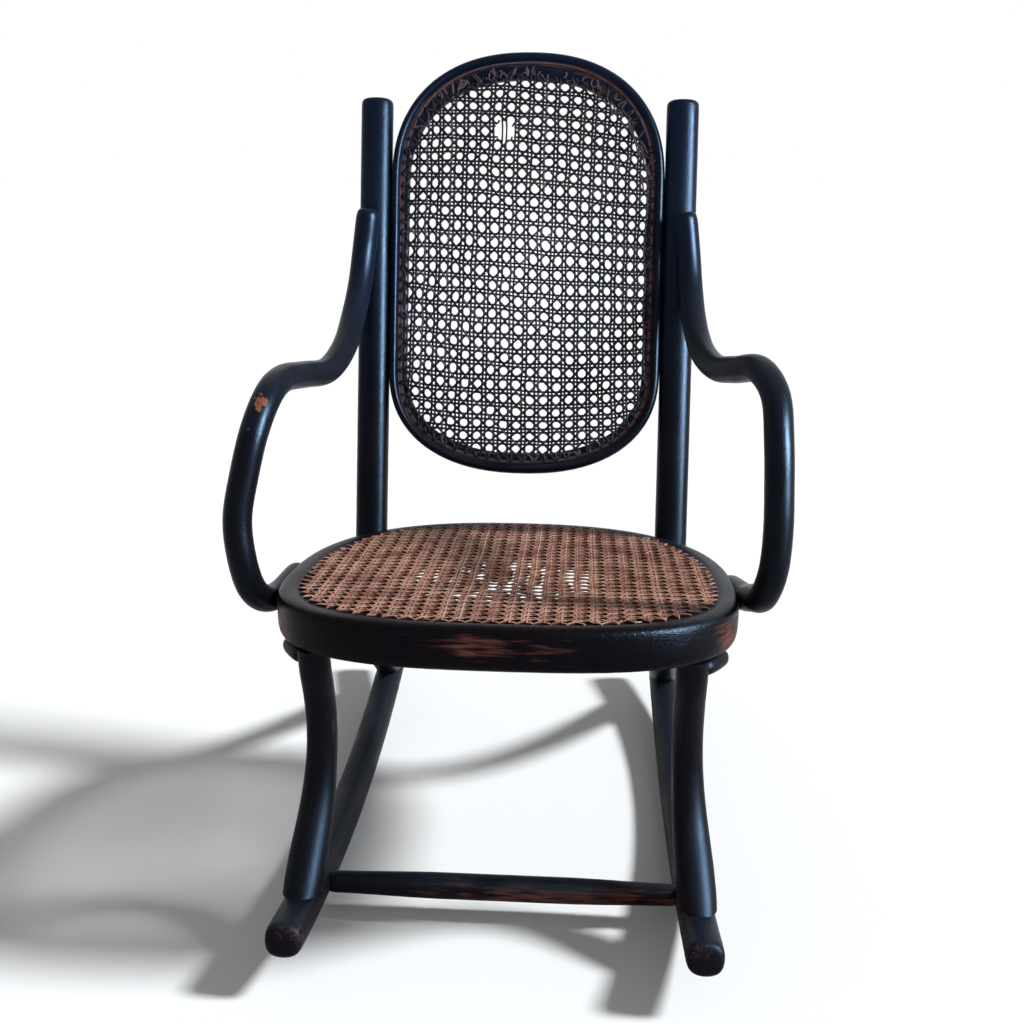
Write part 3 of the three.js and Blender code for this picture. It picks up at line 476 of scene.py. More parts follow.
def cane(name, dark, light, pale, painted_shade_under, roughness):
    """Peeled rattan bark: a hard, slightly waxy skin in thin strips, each of its own tone and dusty, with painted shade
    along its edges and underneath."""
    material = new_material(name)
    place = add(material, "TexCoord")
    strand = add(material, "Attribute", {"attribute_name": "strand"})
    side = add(material, "Attribute", {"attribute_name": "side"})
    # tone shifts over 30 mm, and specks of dust and dirt of about 1 mm
    tone = add(material, "TexNoise", Vector=(place, "Object"), Scale=33.0, Detail=2.0, Roughness=0.5)
    specks = add(material, "TexNoise", Vector=(place, "Object"), Scale=700.0, Detail=2.0, Roughness=0.6)
    own = add(material, "Math", TIMES_PLUS, _0=(strand, "Fac"), _1=0.5, _2=(tone, 0))
    both = add(material, "Math", TIMES_PLUS, _0=(specks, 0), _1=0.6, _2=(own, 0))
    share = add(material, "MapRange", SMOOTH, Value=(both, 0), From_Min=0.72, From_Max=1.3)
    skin = add(material, "Mix", COLOURS, _0=(share, 0), _6=linear(dark), _7=linear(light))
    # a few strands have lost their colour
    lost = add(material, "MapRange", SMOOTH, Value=(strand, "Fac"), From_Min=0.86, From_Max=1.0)
    faded = add(material, "Mix", COLOURS, _0=(lost, 0), _6=(skin, 2), _7=linear(pale))
    # painted shade: the marked sides and underside of each strand take the dark colour
    colour = add(material, "Mix", COLOURS, _0=(side, "Fac"), _6=(faded, 2), _7=linear(painted_shade_under))
    bump = add(material, "Bump", Height=(specks, 0), Strength=0.2, Distance=0.0002)
    shader = add(material, "BsdfPrincipled", Base_Color=(colour, 2), Roughness=roughness, Normal=(bump, 0))
    shader.inputs["Specular IOR Level"].default_value = 0.03
    return finish_material(material, shader)


# the last colour of each cane is the painted shade on its strands' sides and underside
seat_strands = cane("rattan_cane_dusty", "#7b5043", "#bd8f7b", "#bba08a", "#301712", 0.6)
back_strands = cane("rattan_cane_blackened", "#1a1821", "#373139", "#655a66", "#0f0c10", 0.5)
loose_strands = cane("rattan_cane_broken", "#3a2d36", "#55444f", "#6e5a66", "#22181d", 0.5)
binder_strip = cane("rattan_cane_binder", "#4a363c", "#75606b", "#8c7682", "#22181d", 0.5)


def steel(name):
    """Plain steel, darkened by age: dull, with brown specks of rust."""
    material = new_material(name)
    place = add(material, "TexCoord")
    # rust specks about 2 mm across
    specks = add(material, "TexNoise", Vector=(place, "Object"), Scale=500.0, Detail=3.0, Roughness=0.6)
    rust = add(material, "MapRange", SMOOTH, Value=(specks, 0), From_Min=0.5, From_Max=0.68)
    colour = add(material, "Mix", COLOURS, _0=(rust, 0), _6=linear("#55504c"), _7=linear("#3d2a20"))
    rough = add(material, "MapRange", Value=(rust, 0), To_Min=0.42, To_Max=0.8)
    shader = add(material, "BsdfPrincipled", Base_Color=(colour, 2), Roughness=(rough, 0), Metallic=0.85)
    return finish_material(material, shader)


old_steel = steel("steel_darkened")
for name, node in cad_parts.items():
    if any(word in name for word in ("screw", "bolt", "washer", "nut")):
        node.data.materials.clear()
        node.data.materials.append(old_steel)


# Seat ring
RING_PROFILE = [
    (0, -34), (0, -8), (0.9, -3.6), (3.4, -0.9), (7.5, 0), (15.5, -0.1), (18.6, -1.9), (29.4, -2.8),
    (31, -5.5), (31, -36), (28, -40), (4, -40),
]
ring_frames = edge_frames(seat_outline(0, 96), SEAT)
seat_ring = run_of_rings("seat_ring", placed_rings(ring_frames, RING_PROFILE, [(1, 1)] * 96), closed=True)
store_grain(seat_ring, edge_frames(seat_outline(12, 900), SEAT @ Matrix.Translation((0, 0, -18))))


def ring_wear(place, normal):
    """Knees rubbed the top of the front; the far sides show brown."""
    side = 1 - abs(normal.z)
    front = near(place, (-16, -203, 312), (104, 30, 19)) + 0.35 * near(place, (30, -203, 299), (170, 40, 24))
    return side * (0.85 * front + 0.8 * smoothstep(abs(place.x), 160, 205))


def ring_dust_and_sheen(place):
    """Dust and painted sheen on the ring's top: strong at the far right, faint at the far left, none across the middle.
    """
    return 0.8 * smoothstep(place.x, 100, 205) + 0.12 * smoothstep(-place.x, 110, 205)


finish_piece(seat_ring, ring_beech, "black_wood", "seat_hoop", rubbed=ring_wear, dust_and_sheen_share=ring_dust_and_sheen)

# Back hoop: a rounded outer edge, and inside it a flat rebate for the cane that takes up the rest of its width
HOOP_PROFILE = [
    (-0.3, -8), (-0.3, 6.5), (1.2, 10.2), (3.6, 12), (6, 12), (7.7, 11), (8.9, 8.6), (9.8, 5), (11, 3.9), (18, 3.4),
    (19, 1), (19, -9), (16.5, -12), (3, -12),
]
ROUNDED = 9.8


def hoop_width(place):
    """The hoop's width at a point of its outline."""
    height = place.y - HOOP_LIFT
    top = smoothstep(height, HOOP_HEIGHT - HOOP_TOP_END, HOOP_HEIGHT)
    bottom = 1 - smoothstep(height, 0, HOOP_BOTTOM_END)
    return HOOP_SIDE + top * (HOOP_TOP - HOOP_SIDE) + bottom * (HOOP_BOTTOM - HOOP_SIDE)


hoop_rings = []
for here, place in zip(edge_frames(hoop_outline(0, 0, 0, 96), HOOP), hoop_outline(0, 0, 0, 96)):
    wider = (hoop_width(place) - ROUNDED) / (HOOP_SIDE - ROUNDED)
    across = [(x if x <= ROUNDED else ROUNDED + (x - ROUNDED) * wider, y) for x, y in HOOP_PROFILE]
    hoop_rings.append([here @ Vector((x, y, 0)) for x, y in across])
back_hoop = run_of_rings("back_hoop_bent", hoop_rings, closed=True)
store_grain(back_hoop, edge_frames(hoop_outline(9, 12, 10, 900), HOOP))
hoop_across = edge_frames(hoop_outline(0, 0, 0, 900), HOOP)
hoop_tree = KDTree(900)
for i, here in enumerate(hoop_across):
    hoop_tree.insert(here.translation, i)
hoop_tree.balance()


def hoop_wear(place, normal):
    """The rebate beside the cane's holes was never blackened as deep as the rest."""
    inward = (hoop_across[hoop_tree.find(place)[1]].inverted() @ place).x
    return smoothstep(inward, 8.5, 10) * (0.4 + 0.45 * (1 - smoothstep(inward, 12, 16)))


finish_piece(back_hoop, rod_beech, "black_wood", "back_hoop", rubbed=hoop_wear)


# Bent rods
def runner_rise(depth):
    return ROCKER_RADIUS - math.sqrt(ROCKER_RADIUS**2 - (depth - REST_DEPTH) ** 2)


# Back post and rear leg: one rod, straight beside the hoop and curved back below the seat
post_top = BACK @ Vector((POST_X, 0, POST_RISE - 6))
post_base = BACK @ Vector((POST_X, 0, 0))
rear_foot = Vector((RUNNER_X, REAR_FOOT_DEPTH, runner_rise(REAR_FOOT_DEPTH) + RUNNER_HEIGHT - LEG_FOOT_WIDTH / 3))
REAR_LEG_SHARES = [(0.02, 0.2), (0.15, 0.42), (0.39, 0.63), (0.68, 0.82), (1, 1)]
low_post = [post_base]
for back_share, down_share in REAR_LEG_SHARES:
    low_post.append(
        Vector((
            lerp(post_base.x, rear_foot.x, down_share),
            lerp(post_base.y, rear_foot.y, back_share),
            lerp(post_base.z, rear_foot.z, down_share),
        ))
    )
low_run = smooth_path(low_post)
post_path = [post_top.lerp(post_base, i / 30) for i in range(30)] + low_run
post_path.append(2 * low_run[-1] - low_run[-3])
post, post_grain = rod(
    "back_post_bent_right", post_path, lambda s: POST_WIDTH, lambda s: POST_DEPTH, 0.26, 6, stations=56
)
cut_flat(post, rear_foot + Vector((0, 0, LEG_FOOT_WIDTH / 3 + 0.2)), Vector((0, 0.18, -1)))
store_grain(post, post_grain)
finish_piece(mirrored(post, "back_post_bent_left"), rod_beech, "black_wood", "back_post_left")
finish_piece(post, rod_beech, "black_wood", "back_post_right")

# Front leg: it bows back below the ring, kicks forward at the foot, swells there and tucks in onto the runner
leg_top = SEAT @ Vector((LEG_X, seat_depth_at(LEG_X, RING_WIDTH / 2, False), -RING_HEIGHT))
foot_height = runner_rise(leg_top.y - LEG_KICK) + RUNNER_HEIGHT - LEG_FOOT_WIDTH / 3
# shares of the drop, of the bow, of the kick and of the splay
LEG_SHARES = [
    (-0.04, -0.06, 0, 0), (0.08, 0.12, 0, 0.02), (0.22, 0.6, 0, 0.07), (0.38, 0.98, 0, 0.16),
    (0.54, 1, 0.02, 0.3), (0.7, 0.8, 0.16, 0.5), (0.85, 0.42, 0.5, 0.76), (1, 0, 1, 1),
]
leg_path = smooth_path([
    (lerp(leg_top.x, RUNNER_X, splay), leg_top.y + LEG_BOW * bow - LEG_KICK * kick, lerp(leg_top.z, foot_height, drop))
    for drop, bow, kick, splay in LEG_SHARES
])
leg_path.append(2 * leg_path[-1] - leg_path[-5])


def leg_width(share):
    swell = lerp(LEG_TOP_WIDTH, LEG_FOOT_WIDTH + 0.6, smoothstep(share, 0.42, 0.86))
    return swell * (1 - 0.1 * smoothstep(share, 0.88, 0.98))


leg, leg_grain = rod("front_leg_bent_right", leg_path, leg_width, leg_width, 0.28, stations=48)
cut_flat(leg, SEAT @ Vector((0, 0, -RING_HEIGHT)), SEAT.to_3x3() @ Vector((0, 0, 1)))
cut_flat(leg, Vector((0, leg_top.y - LEG_KICK, foot_height + LEG_FOOT_WIDTH / 3 + 0.2)), Vector((0, -0.17, -1)))
store_grain(leg, leg_grain)
finish_piece(mirrored(leg, "front_leg_bent_left"), low_beech, "worn_wood", "front_leg_left")
finish_piece(leg, low_beech, "worn_wood", "front_leg_right")

# Runner: an arc with blunt noses, raised a little to lie within the flat facets of the CAD's underside
RUNNER_LIFT = 0.14
runner_reach = ROCKER_RADIUS - RUNNER_HEIGHT / 2
front_angle = -math.asin((REST_DEPTH + RUNNER_FRONT - NOSE) / ROCKER_RADIUS)
back_angle = math.asin((RUNNER_BACK - REST_DEPTH - NOSE) / ROCKER_RADIUS)
runner_path = []
for i in range(121):
    angle = lerp(front_angle, back_angle, i / 120)
    depth = REST_DEPTH + runner_reach * math.sin(angle)
    runner_path.append(Vector((RUNNER_X, depth, ROCKER_RADIUS + RUNNER_LIFT - runner_reach * math.cos(angle))))
runner, runner_grain = rod(
    "runner_bent_right", runner_path, lambda s: RUNNER_WIDTH, lambda s: RUNNER_HEIGHT, 0.24, NOSE, NOSE, stations=40
)
store_grain(runner, runner_grain)


def runner_scrapes(place, normal):
    """Scrapes on the front nose."""
    return 0.24 * near(place, (place.x, -250, 62), (40, 16, 12))


finish_piece(mirrored(runner, "runner_bent_left"), low_beech, "worn_wood", "runner_left", rubbed=runner_scrapes)
finish_piece(runner, low_beech, "worn_wood", "runner_right", rubbed=runner_scrapes)

# Stretcher: turned, a little thicker in the middle, with its ends let into the runners
STRETCHER_LET_IN = 6
stretcher_height = runner_rise(-STRETCHER_DEPTH) + RUNNER_HEIGHT / 2
stretcher_half = RUNNER_X - RUNNER_WIDTH / 2 + STRETCHER_LET_IN
stretcher_path = [Vector((x, -STRETCHER_DEPTH, stretcher_height)) for x in (-stretcher_half, 0, stretcher_half)]


def stretcher_width(share):
    return lerp(STRETCHER_END_THICKNESS, STRETCHER_THICKNESS, smoothstep(min(share, 1 - share), 0.02, 0.33))


stretcher_frames = frames_along(evenly(stretcher_path, 28), Vector((0, 1, 0)))
stretcher = run_of_rings(
    "stretcher_turned",
    placed_rings(stretcher_frames, rounded_square(0.293), [(stretcher_width(i / 27),) * 2 for i in range(28)]),
)
store_grain(stretcher, frames_along(evenly(stretcher_path, 200), Vector((0, 1, 0))))
finish_piece(
    stretcher, low_beech, "worn_wood", "stretcher",
    rubbed=lambda place, normal: 0.55 * smoothstep(place.x, -85, -20) + 0.3 * near(place, (85, -140, 36), (55, 30, 20)),
)

# Arms: an S from the front of the post, forward over the seat, down in front and back along the ring. The two were
# bent by hand and differ a little: shares of the way out, of the way forward and of the height from end to top
ARM_SHARES = {
    "left": [
        (0, 0, 1), (0.06, 0.015, 0.902), (0.1, 0.06, 0.804), (0.14, 0.16, 0.706), (0.168, 0.29, 0.633),
        (0.29, 0.44, 0.587), (0.485, 0.6, 0.602), (0.61, 0.745, 0.616), (0.663, 0.865, 0.593), (0.777, 0.935, 0.514),
        (0.905, 0.97, 0.401), (1.003, 0.993, 0.283), (0.96, 1, 0.175), (0.9, 0.965, 0.079), (0.83, 0.88, 0.017),
        (0.75, 0.8, 0),
    ],
    "right": [
        (0, 0, 1), (0.06, 0.015, 0.902), (0.1, 0.06, 0.804), (0.14, 0.16, 0.71), (0.22, 0.29, 0.641),
        (0.372, 0.44, 0.616), (0.562, 0.6, 0.639), (0.793, 0.745, 0.665), (0.94, 0.865, 0.618), (0.965, 0.935, 0.52),
        (0.985, 0.97, 0.401), (0.995, 0.993, 0.283), (0.96, 1, 0.175), (0.88, 0.965, 0.095), (0.825, 0.88, 0.06),
        (0.775, 0.8, 0.03),
    ],
}
arm_top = BACK @ Vector((POST_X + 5, -(POST_DEPTH + ARM_THICKNESS) / 2 + 3, ARM_TOP_LIFT))
arm_seat_x = seat_half_width_at(ARM_SEAT_DEPTH) + ARM_THICKNESS / 2 - ARM_SEAT_FLAT
arm_end = SEAT @ Vector((arm_seat_x, ARM_SEAT_DEPTH, -ARM_SEAT_DROP))


def arm_chip(place, normal):
    """Where the black was knocked off the left arm, over its shoulder."""
    return max(1.2 * near(place, (-214, -97, 485), (10, 20, 20)), 0.9 * near(place, (-222, -108, 462), (6, 8, 8)))


for side, turn in (("left", -1), ("right", 1)):
    arm_points = [
        Vector((lerp(arm_top.x, ARM_X, out), lerp(arm_top.y, -ARM_FRONT, forward), lerp(arm_end.z, arm_top.z, height)))
        for out, forward, height in ARM_SHARES[side]
    ]
    arm, arm_grain = rod(
        "arm_bent_right", smooth_path([*arm_points, arm_end]), lambda s: ARM_THICKNESS, lambda s: ARM_THICKNESS,
        0.293, 13, 13, stations=84,
    )
    cut_flat(arm, BACK @ Vector((POST_X, -POST_DEPTH / 2 - 0.1, 0)), BACK.to_3x3() @ Vector((0, 1, 0)))
    store_grain(arm, arm_grain)
    if turn > 0:
        finish_piece(arm, rod_beech, "black_wood", "arm_right")
    else:
        finish_piece(mirrored(arm, "arm_bent_left"), rod_beech, "black_wood", "arm_left", bare=arm_chip)
        bpy.data.objects.remove(arm)

# Leg blocks: round-ended blocks under the ring, beside the tops of the front legs
block_depth = seat_depth_at(LEG_X, RING_WIDTH / 2, False) + BLOCK_BACK
block_middle = (LEG_X + BLOCK_OUT, block_depth, -RING_HEIGHT - BLOCK_THICKNESS)
block_place = SEAT @ Matrix.Translation(block_middle) @ Matrix.Rotation(math.atan2(BLOCK_BACK, BLOCK_OUT), 4, "Z")
# insets and heights, as shares of the block's thickness, of its rings from its underside up
BLOCK_SHARES = [(0.7, 0), (0.36, 0.01), (0.12, 0.14), (0.01, 0.36), (0, 0.6), (0.1, 0.84), (0.3, 0.97), (0.5, 0.98)]
block_rings = []
for inset, height in BLOCK_SHARES:
    radius = BLOCK_WIDTH / 2 - inset * BLOCK_THICKNESS
    straight = (BLOCK_LENGTH - BLOCK_WIDTH) / 2
    ring = []
    for i in range(16):
        angle = math.pi * (i - 7.5) / 8
        x, y = radius * math.cos(angle) + math.copysign(straight, math.cos(angle)), radius * math.sin(angle)
        ring.append(block_place @ Vector((x, y, height * BLOCK_THICKNESS)))
    block_rings.append(ring)
block = run_of_rings("leg_block_rounded_right", block_rings)
block_line = [block_place @ Vector((x, 0, BLOCK_THICKNESS / 2)) for x in (-27, 0, 27)]
store_grain(block, frames_along(evenly(block_line, 60), Vector((0, 0, 1))))
finish_piece(mirrored(block, "leg_block_rounded_left"), low_beech, "worn_wood", "leg_block_left")
finish_piece(block, low_beech, "worn_wood", "leg_block_right")


# Cane
def lies_inside(spots, outline):
    """Which of many spots lie inside a closed outline."""
    x, y = spots[:, :1], spots[:, 1:]
    x0, y0 = outline[:, 0], outline[:, 1]
    x1, y1 = np.roll(x0, -1), np.roll(y0, -1)
    level = np.where(y1 == y0, 1e-9, y1 - y0)
    crossed = ((y0 > y) != (y1 > y)) & (x < x0 + (y - y0) * (x1 - x0) / level)
    return crossed.sum(1) % 2 == 1


def flat(points):
    return np.array([(p.x, p.y) for p in points])


# A strip of cane across its width: crowned above, with its sides and underside marked for painted shade
STRIP = [(-0.5, -0.25, 1), (-0.28, 0.5, 0), (0.28, 0.5, 0), (0.5, -0.25, 1), (0, -1, 1)]


class Net:
    """Cane worked in a panel's own plane: spot_at turns cells of the weave into places in millimetres, and fullness
    says how far the strands are still as thick as new."""

    def __init__(
        self, spot_at, edge, holes, width, thickness, depth, lift, seed, fullness=None, dip=None, torn=None, loose=None
    ):
        self.spot_at, self.edge, self.seed = spot_at, flat(edge), seed
        self.width, self.thickness, self.depth, self.lift = width, thickness, depth, lift
        self.fullness, self.dip = fullness or (lambda spot: 1.0), dip or (lambda spot: 0.0)
        self.torn, self.loose = torn or (lambda spots: np.zeros(len(spots), bool)), loose or (lambda spot: 0.0)
        self.tree = KDTree(len(holes))
        for i, hole in enumerate(holes):
            self.tree.insert(hole, i)
        self.tree.balance()
        self.start()

    def start(self):
        self.vertices, self.faces, self.tones, self.sides = [], [], [], []
        self.chance = random.Random(self.seed)

    def strip(self, line, width, thickness, tone=None):
        """A strip of cane along a line, in a tone of its own or one given at each point."""
        tone = self.chance.random() if tone is None else tone
        first = len(self.vertices)
        for i, (place, way) in enumerate(zip(line, headings(line))):
            across = way.cross(Vector((0, 0, 1))).normalized()
            up = across.cross(way)
            full = self.fullness(place)
            for x, y, side in STRIP:
                y *= (self.depth if y == -1 else thickness) * full
                self.vertices.append(place + across * x * width * max(full, min(1, full + 0.25)) + up * y)
                self.tones.append(tone[i] if isinstance(tone, list) else tone)
                self.sides.append(side)
        for i in range(len(line) - 1):
            for j in range(5):
                a, b = first + i * 5 + j, first + i * 5 + (j + 1) % 5
                self.faces.append((a, b, b + 5, a + 5))
        self.faces.append(tuple(first + j for j in range(5))[::-1])
        self.faces.append(tuple(first + (len(line) - 1) * 5 + j for j in range(5)))

    def drawn_in(self, last):
        """From a strand's last point over the edge and down into the nearest hole."""
        hole, _, _ = self.tree.find(Vector((last.x, last.y, 0)))
        top = Vector((hole.x, hole.y, 0.35))
        down = top + (hole - Vector((last.x, last.y, 0))) * 0.08 - Vector((0, 0, 3.2))
        return [last.lerp(top, 0.55) + Vector((0, 0, 0.25)), top, down]

    def broken_off(self, last, way, length):
        """From a strand's last point on to a broken end that curls up a little."""
        turn = Matrix.Rotation(self.chance.uniform(-0.28, 0.28), 3, "Z")
        way = Matrix.Rotation(self.chance.uniform(-0.5, 0.5), 3, "Z") @ Vector((way.x, way.y, 0)).normalized()
        line, spot = [], last
        for _ in range(4):
            way = turn @ way
            spot = spot + way * length / 4 + Vector((0, 0, self.chance.uniform(-0.2, 0.9)))
            line.append(spot)
        return line

    def strand(self, run, cells, heights, kept, upright=False):
        """A strand through cells of the weave: cut at the edge and at tears, its ends drawn into holes or broken."""
        spots = self.spot_at(cells + (self.chance.uniform(-0.035, 0.035), self.chance.uniform(-0.035, 0.035)))
        whole = lies_inside(spots, self.edge)
        if not upright:
            whole &= ~self.torn(spots)
        marks = np.rint(run * 20).astype(int) % 20
        changes = np.flatnonzero(np.diff(np.concatenate([[0], whole.astype(int), [0]])))
        for first, last in zip(changes[::2], changes[1::2] - 1):
            if last - first < 6:
                continue
            line = []
            for i in range(first, last + 1):
                if i in (first, last) or marks[i] in kept:
                    spot = Vector((*spots[i], 0))
                    spot.z = heights[i] * self.lift * self.fullness(spot) - self.dip(spot)
                    line.append(spot)
            for end in (0, -1):
                length = self.loose(line[end])
                if length:
                    way = line[end] - line[1 if end == 0 else -2]
                    more = self.broken_off(line[end], way, length * self.chance.random())
                else:
                    more = self.drawn_in(line[end])
                line = line + more if end else more[::-1] + line
            self.strip(line, self.width, self.thickness)

    def made(self, name, plane):
        mesh = bpy.data.meshes.new(name)
        mesh.from_pydata([tuple(v) for v in self.vertices], [], self.faces)
        for kept, values in (("strand", self.tones), ("side", self.sides)):
            mesh.attributes.new(kept, "FLOAT", "POINT").data.foreach_set("value", [float(v) for v in values])
        piece = bpy.data.objects.new(name, mesh)
        bpy.context.collection.objects.link(piece)
        piece.data.transform(plane)
        self.start()
        return piece


def weave(net, name, plane, columns, rows, pair, material, slot, node):
    """Six ways of strands round openings at whole numbers: pairs up and across that cross halfway between the
    openings, and single strands on the two slants that cross the pairs beside each opening."""
    up, over = np.arange(rows[0], rows[1] + 0.001, 0.05), np.arange(columns[0], columns[1] + 0.001, 0.05)
    under_over = np.interp(up % 1, [0, 0.2, 0.4, 0.5, 0.6, 0.8, 1], [0, 0.35, 1, 0, -1, -0.35, 0])
    for i in range(*columns):
        for side in (-0.5, 0.5):
            cells = np.stack([0 * up + i + 0.5 + side * pair[0], up], 1)
            net.strand(up, cells, 2 * side * under_over, (0, 4, 8, 10, 12, 16), upright=True)
    for j in range(*rows):
        for side in (-0.5, 0.5):
            net.strand(over, np.stack([over, 0 * over + j + 0.5 + side * pair[1]], 1), 0 * over, (0, 5, 10, 15))
    finish_piece(net.made(name + "_square", plane), material, slot, node, angle=60)
    reach = columns[1] - columns[0]
    for slant in (-1, 1):
        for k in range(rows[0] - reach, rows[1] + reach):
            cells = np.stack([over, slant * over + k + 0.5], 1)
            within = (cells[:, 1] > rows[0]) & (cells[:, 1] < rows[1])
            if within.sum() > 8:
                net.strand(over[within], cells[within], -slant * np.cos(2 * np.pi * over[within]), (0, 5, 10, 15))
    finish_piece(net.made(name + "_slanting", plane), material, slot, angle=60)


def wander(spots, reach, amount):
    """Small uneven shifts of hand-drawn strands."""
    shifts = [noise.noise_vector(Vector((x / reach, y / reach, 0.7))) for x, y in spots]
    return spots + amount * np.array([(s.x, s.y) for s in shifts])


# Seat: an even weave, worn thin where the sitter's weight rests
SEAT_PITCH = (14.4, 12.6)


def drawn_to_back(outline, amount):
    """The seat's holes lie nearer to the ring's outer edge at its back."""
    return [p + Vector((0, amount * smoothstep(p.y, 60, 165), 0)) for p in outline]


def seat_fullness(spot):
    """The strands are worn flat in patches where the sitter's weight rests."""
    patch = smoothstep(noise.noise(Vector((spot.x / 9, spot.y / 45, 3.1))), -0.2, 0.1)
    worn = min(1, 2.6 * near(spot, (-4, -42, 0), (128, 104, 9)))
    return 1 - 0.68 * worn * patch + 0.12 * smoothstep(-spot.y, 60, 150)


seat_net = Net(
    lambda cells: wander(cells * SEAT_PITCH, 60, 1.2), drawn_to_back(seat_outline(24.5, 240), 12),
    drawn_to_back(seat_outline(19.5, 88), 12), 1.7, 0.95, 2.3, 0.9, 7, seat_fullness,
    dip=lambda spot: 1.5 * near(spot, (0, -10, 0), (190, 160, 9)),
)
weave(
    seat_net, "seat_weave", SEAT @ Matrix.Translation((0, 0, -1.3)), (-15, 16), (-16, 17), (0.222, 0.254), seat_strands,
    "seat_cane", "seat_cane",
)


# Back: its rows have drifted, its top edge and one shoulder have come away, and a few strands are broken
def back_spot(cells):
    i, j = cells[:, 0], cells[:, 1]
    x = 7.154 + 0.083 * j + 0.01119 * j**2 + 0.00001 * j**3 + 14.0685 * i - 0.02031 * i * j + 0.00183 * i * j**2
    x += -0.02371 * i**2 + 0.00002 * i**2 * j - 0.0098 * i**3
    y = 316.094 + 15.3976 * j - 0.02003 * j**2 - 0.00512 * j**3 - 0.90797 * i - 0.0524 * i * j + 0.00283 * i * j**2
    y += 0.00943 * i**2 - 0.0081 * i**2 * j + 0.00238 * i**3
    return wander(np.stack([x, y], 1), 26, 1.7)


TEAR, TEAR_REACH = (-25.4, 452.8), (13.5, 10.5)


def back_loose(spot):
    """How long the broken ends are at a place of the net's edge, in millimetres."""
    if spot.y > 490 and -98 < spot.x < 108:
        return 15.0 if spot.x < 8 else 8.0
    if spot.x > 108 and 395 < spot.y < 505:
        return 14.0
    if (spot - Vector((*TEAR, spot.z))).length < 24:
        return 4.0
    return 0.0


def back_fullness(spot):
    """The strands are worn thinner in the middle, and thinnest beside the tear."""
    return 1.2 - 0.22 * near(spot, (10, 310, 0), (120, 190, 9)) - 0.6 * near(spot, (-25, 453, 0), (15, 17, 9))


back_edge = hoop_outline(15.5, 21, 17.5, 300)
for point in back_edge:
    if point.y > 470:
        point.y -= 6.5 * (1 - smoothstep(abs(point.x - 5), 82, 108))
    point.x -= 7 * near(point, (125, 452, 0), (60, 62, 9)) - 5 * near(point, (-118, 476, 0), (30, 22, 9))
back_net = Net(
    back_spot, back_edge, hoop_outline(11.2, 15.5, 13, 96), 1.97, 0.5, 0.4, 0.5, 11,
    fullness=back_fullness,
    torn=lambda spots: (((spots - TEAR) / TEAR_REACH) ** 2).sum(1) < 1,
    loose=back_loose,
)
BACK_NET = HOOP @ Matrix.Translation((0, 0, 5.6))
weave(back_net, "back_weave", BACK_NET, (-12, 12), (-17, 18), (0.285, 0.26), back_strands, "back_cane", "back_cane")

# Broken strands that hang loose at the shoulder and lie over the rebate at the top
for n in range(13):
    height = 498 - 7.5 * n + back_net.chance.uniform(-3, 3)
    rise = max(0, height - HOOP_LIFT - HOOP_HEIGHT + HOOP_TOP_END) / (HOOP_TOP_END - 24)
    inner = (HOOP_HALF_WIDTH - HOOP_SIDE) * (1 - rise**HOOP_POWER) ** (1 / HOOP_POWER)
    top = Vector((inner - back_net.chance.uniform(1, 9), height, 0.8))
    way = Vector((back_net.chance.uniform(3, 9), -back_net.chance.uniform(9, 22), back_net.chance.uniform(0.5, 2)))
    sideways = Vector((way.y, -way.x, 0)) * back_net.chance.uniform(-0.16, 0.16)
    back_net.strip(smooth_path([top, top + way * 0.5 + sideways, top + way], 4), 1.5, 0.5, 1.0)
for n in range(34):
    foot = Vector((back_net.chance.uniform(-98, 8) if n < 25 else back_net.chance.uniform(20, 100), 0, 0.9))
    foot.y = 514 - 0.0026 * foot.x**2 - back_net.chance.uniform(0, 4)
    way = Vector((back_net.chance.uniform(-9, 9), back_net.chance.uniform(2, 10), back_net.chance.uniform(0.2, 1.6)))
    sideways = Vector((way.y, -way.x, 0)) * back_net.chance.uniform(-0.3, 0.3)
    back_net.strip(smooth_path([foot, foot + way * 0.5 + sideways, foot + way], 4), 1.5, 0.5, 1.0)
finish_piece(back_net.made("back_loose_ends", BACK_NET), loose_strands, "back_cane", angle=60)

# Binder: a wider strip of cane that covered the holes of the back
binder_line = [Vector((p.x, p.y, 4.4 + 0.9 * smoothstep(p.y, 420, 520))) for p in hoop_outline(12.4, 10, 13, 400)]
binder_tones = [0.5 + 0.5 * noise.noise(p / 40) for p in binder_line]
back_net.strip([*binder_line, binder_line[0]], 3.0, 0.8, [*binder_tones, binder_tones[0]])
finish_piece(back_net.made("back_binder", HOOP), binder_strip, "back_cane", angle=60)

# Floor: white to the eye and in reflections, and a plain light grey to the light, so that it keeps the shadow
bpy.ops.object.select_all(action="DESELECT")
bpy.ops.mesh.primitive_plane_add(size=40, location=(0, 0, -0.0005))
floor = bpy.context.object
floor.name = "floor"
white = new_material("floor_white")
seen = add(white, "LightPath")
glossy = add(white, "Math", {"operation": "MAXIMUM"}, _0=(seen, "Is Camera Ray"), _1=(seen, "Is Glossy Ray"))
clear = add(white, "Math", {"operation": "MAXIMUM"}, _0=(glossy, 0), _1=(seen, "Is Transmission Ray"))
plain = add(white, "BsdfDiffuse", Color=(0.82, 0.82, 0.82, 1))
glow = add(white, "Emission", Color=(1, 1, 1, 1), Strength=0.015)
lit = add(white, "AddShader", _0=(plain, 0), _1=(glow, 0))
floor_shader = add(white, "MixShader", _0=(clear, 0), _1=(plain, 0), _2=(lit, 0))
floor.data.materials.append(finish_material(white, floor_shader))

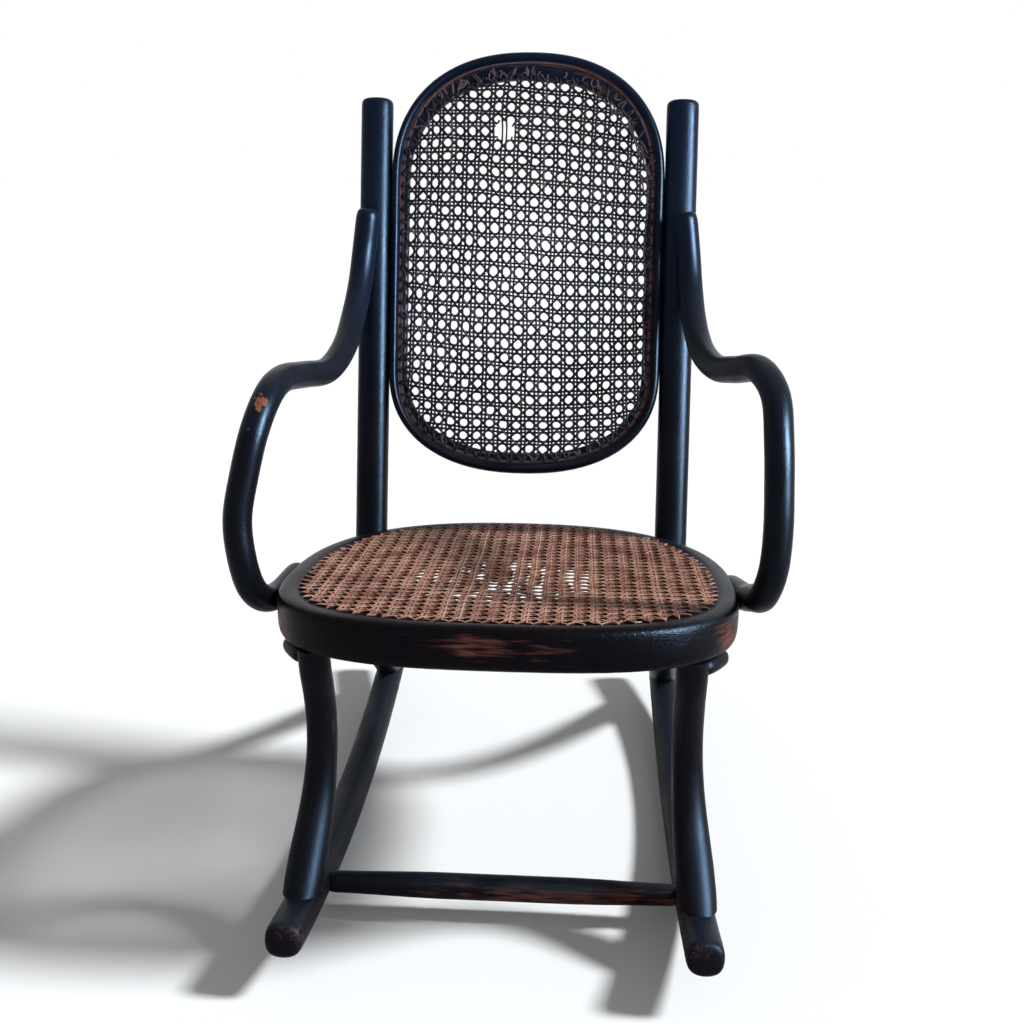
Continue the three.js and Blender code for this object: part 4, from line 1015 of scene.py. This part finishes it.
# World: white to the eye and in reflections, a dim even light on the chair
world = bpy.data.worlds.new("studio")
bpy.context.scene.world = world
world.use_nodes = True
world.node_tree.nodes.clear()
path = add(world, "LightPath")
world_glossy = add(world, "Math", {"operation": "MAXIMUM"}, _0=(path, "Is Camera Ray"), _1=(path, "Is Glossy Ray"))
world_clear = add(world, "Math", {"operation": "MAXIMUM"}, _0=(world_glossy, 0), _1=(path, "Is Transmission Ray"))
dim = add(world, "Background", Color=(1, 1, 1, 1), Strength=0.3)
full = add(world, "Background", Color=(1, 1, 1, 1), Strength=1.0)
sky = add(world, "MixShader", _0=(world_clear, 0), _1=(dim, 0), _2=(full, 0))
world.node_tree.links.new(sky.outputs[0], add(world, "OutputWorld").inputs["Surface"])


def far_lamp(name, side, height, spread, strength, colour):
    """An even light from far away: from a side, counted in degrees from the right towards the front."""
    data = bpy.data.lights.new(name, "SUN")
    data.angle = math.radians(spread)
    data.energy = strength
    data.color = colour
    lamp = bpy.data.objects.new(name, data)
    bpy.context.collection.objects.link(lamp)
    side, height = math.radians(side), math.radians(height)
    towards = Vector((math.cos(side) * math.cos(height), -math.sin(side) * math.cos(height), math.sin(height)))
    lamp.rotation_euler = towards.to_track_quat("Z", "Y").to_euler()
    return lamp


# The room's light casts the shadow, and a window at the right in front shows only in the polish
far_lamp("room_light", -4, 40, 9, 4.8, (0.95, 0.98, 1.0)).visible_glossy = False
window = bpy.data.lights.new("window", "AREA")
window.shape, window.size, window.size_y = "RECTANGLE", 0.55, 1.0
window.energy, window.color = 850, (0.62, 0.82, 1.0)
pane = bpy.data.objects.new("window", window)
bpy.context.collection.objects.link(pane)
WINDOW_PLACE, WINDOW_FACING = (1.9, -1.1, 1.2), (1.9, -1.1, 0.75)
pane.location = WINDOW_PLACE
pane.rotation_euler = Vector(WINDOW_FACING).to_track_quat("Z", "Y").to_euler()
pane.visible_diffuse = False


def set_camera(place, pitch, yaw, roll, pixels):
    """A camera that looks along +Y, turned left by yaw and down by pitch, with a focal length in pixels of 1024."""
    pitch, yaw, roll = (math.radians(v) for v in (pitch, yaw, roll))
    ahead = Vector((-math.sin(yaw) * math.cos(pitch), math.cos(yaw) * math.cos(pitch), -math.sin(pitch)))
    right = Vector((math.cos(yaw), math.sin(yaw), 0))
    up = right.cross(ahead)
    level_right = right * math.cos(roll) + up * math.sin(roll)
    level_up = up * math.cos(roll) - right * math.sin(roll)
    data = bpy.data.cameras.new("camera")
    data.sensor_fit = "HORIZONTAL"
    data.sensor_width = 36
    data.lens = pixels / 1024 * 36
    camera = bpy.data.objects.new("camera", data)
    bpy.context.collection.objects.link(camera)
    turn = Matrix((level_right, level_up, -ahead)).transposed().to_4x4()
    camera.matrix_world = Matrix.Translation(place) @ turn
    bpy.context.scene.camera = camera


CAMERA_PLACE = (0.06162, -1.181023, 0.698814)
PITCH, YAW, ROLL, FOCAL_PIXELS = 17.027, 3.231, 0.45, 1195.735
set_camera(CAMERA_PLACE, PITCH, YAW, ROLL, FOCAL_PIXELS)
bpy.context.scene.view_settings.view_transform = "Standard"
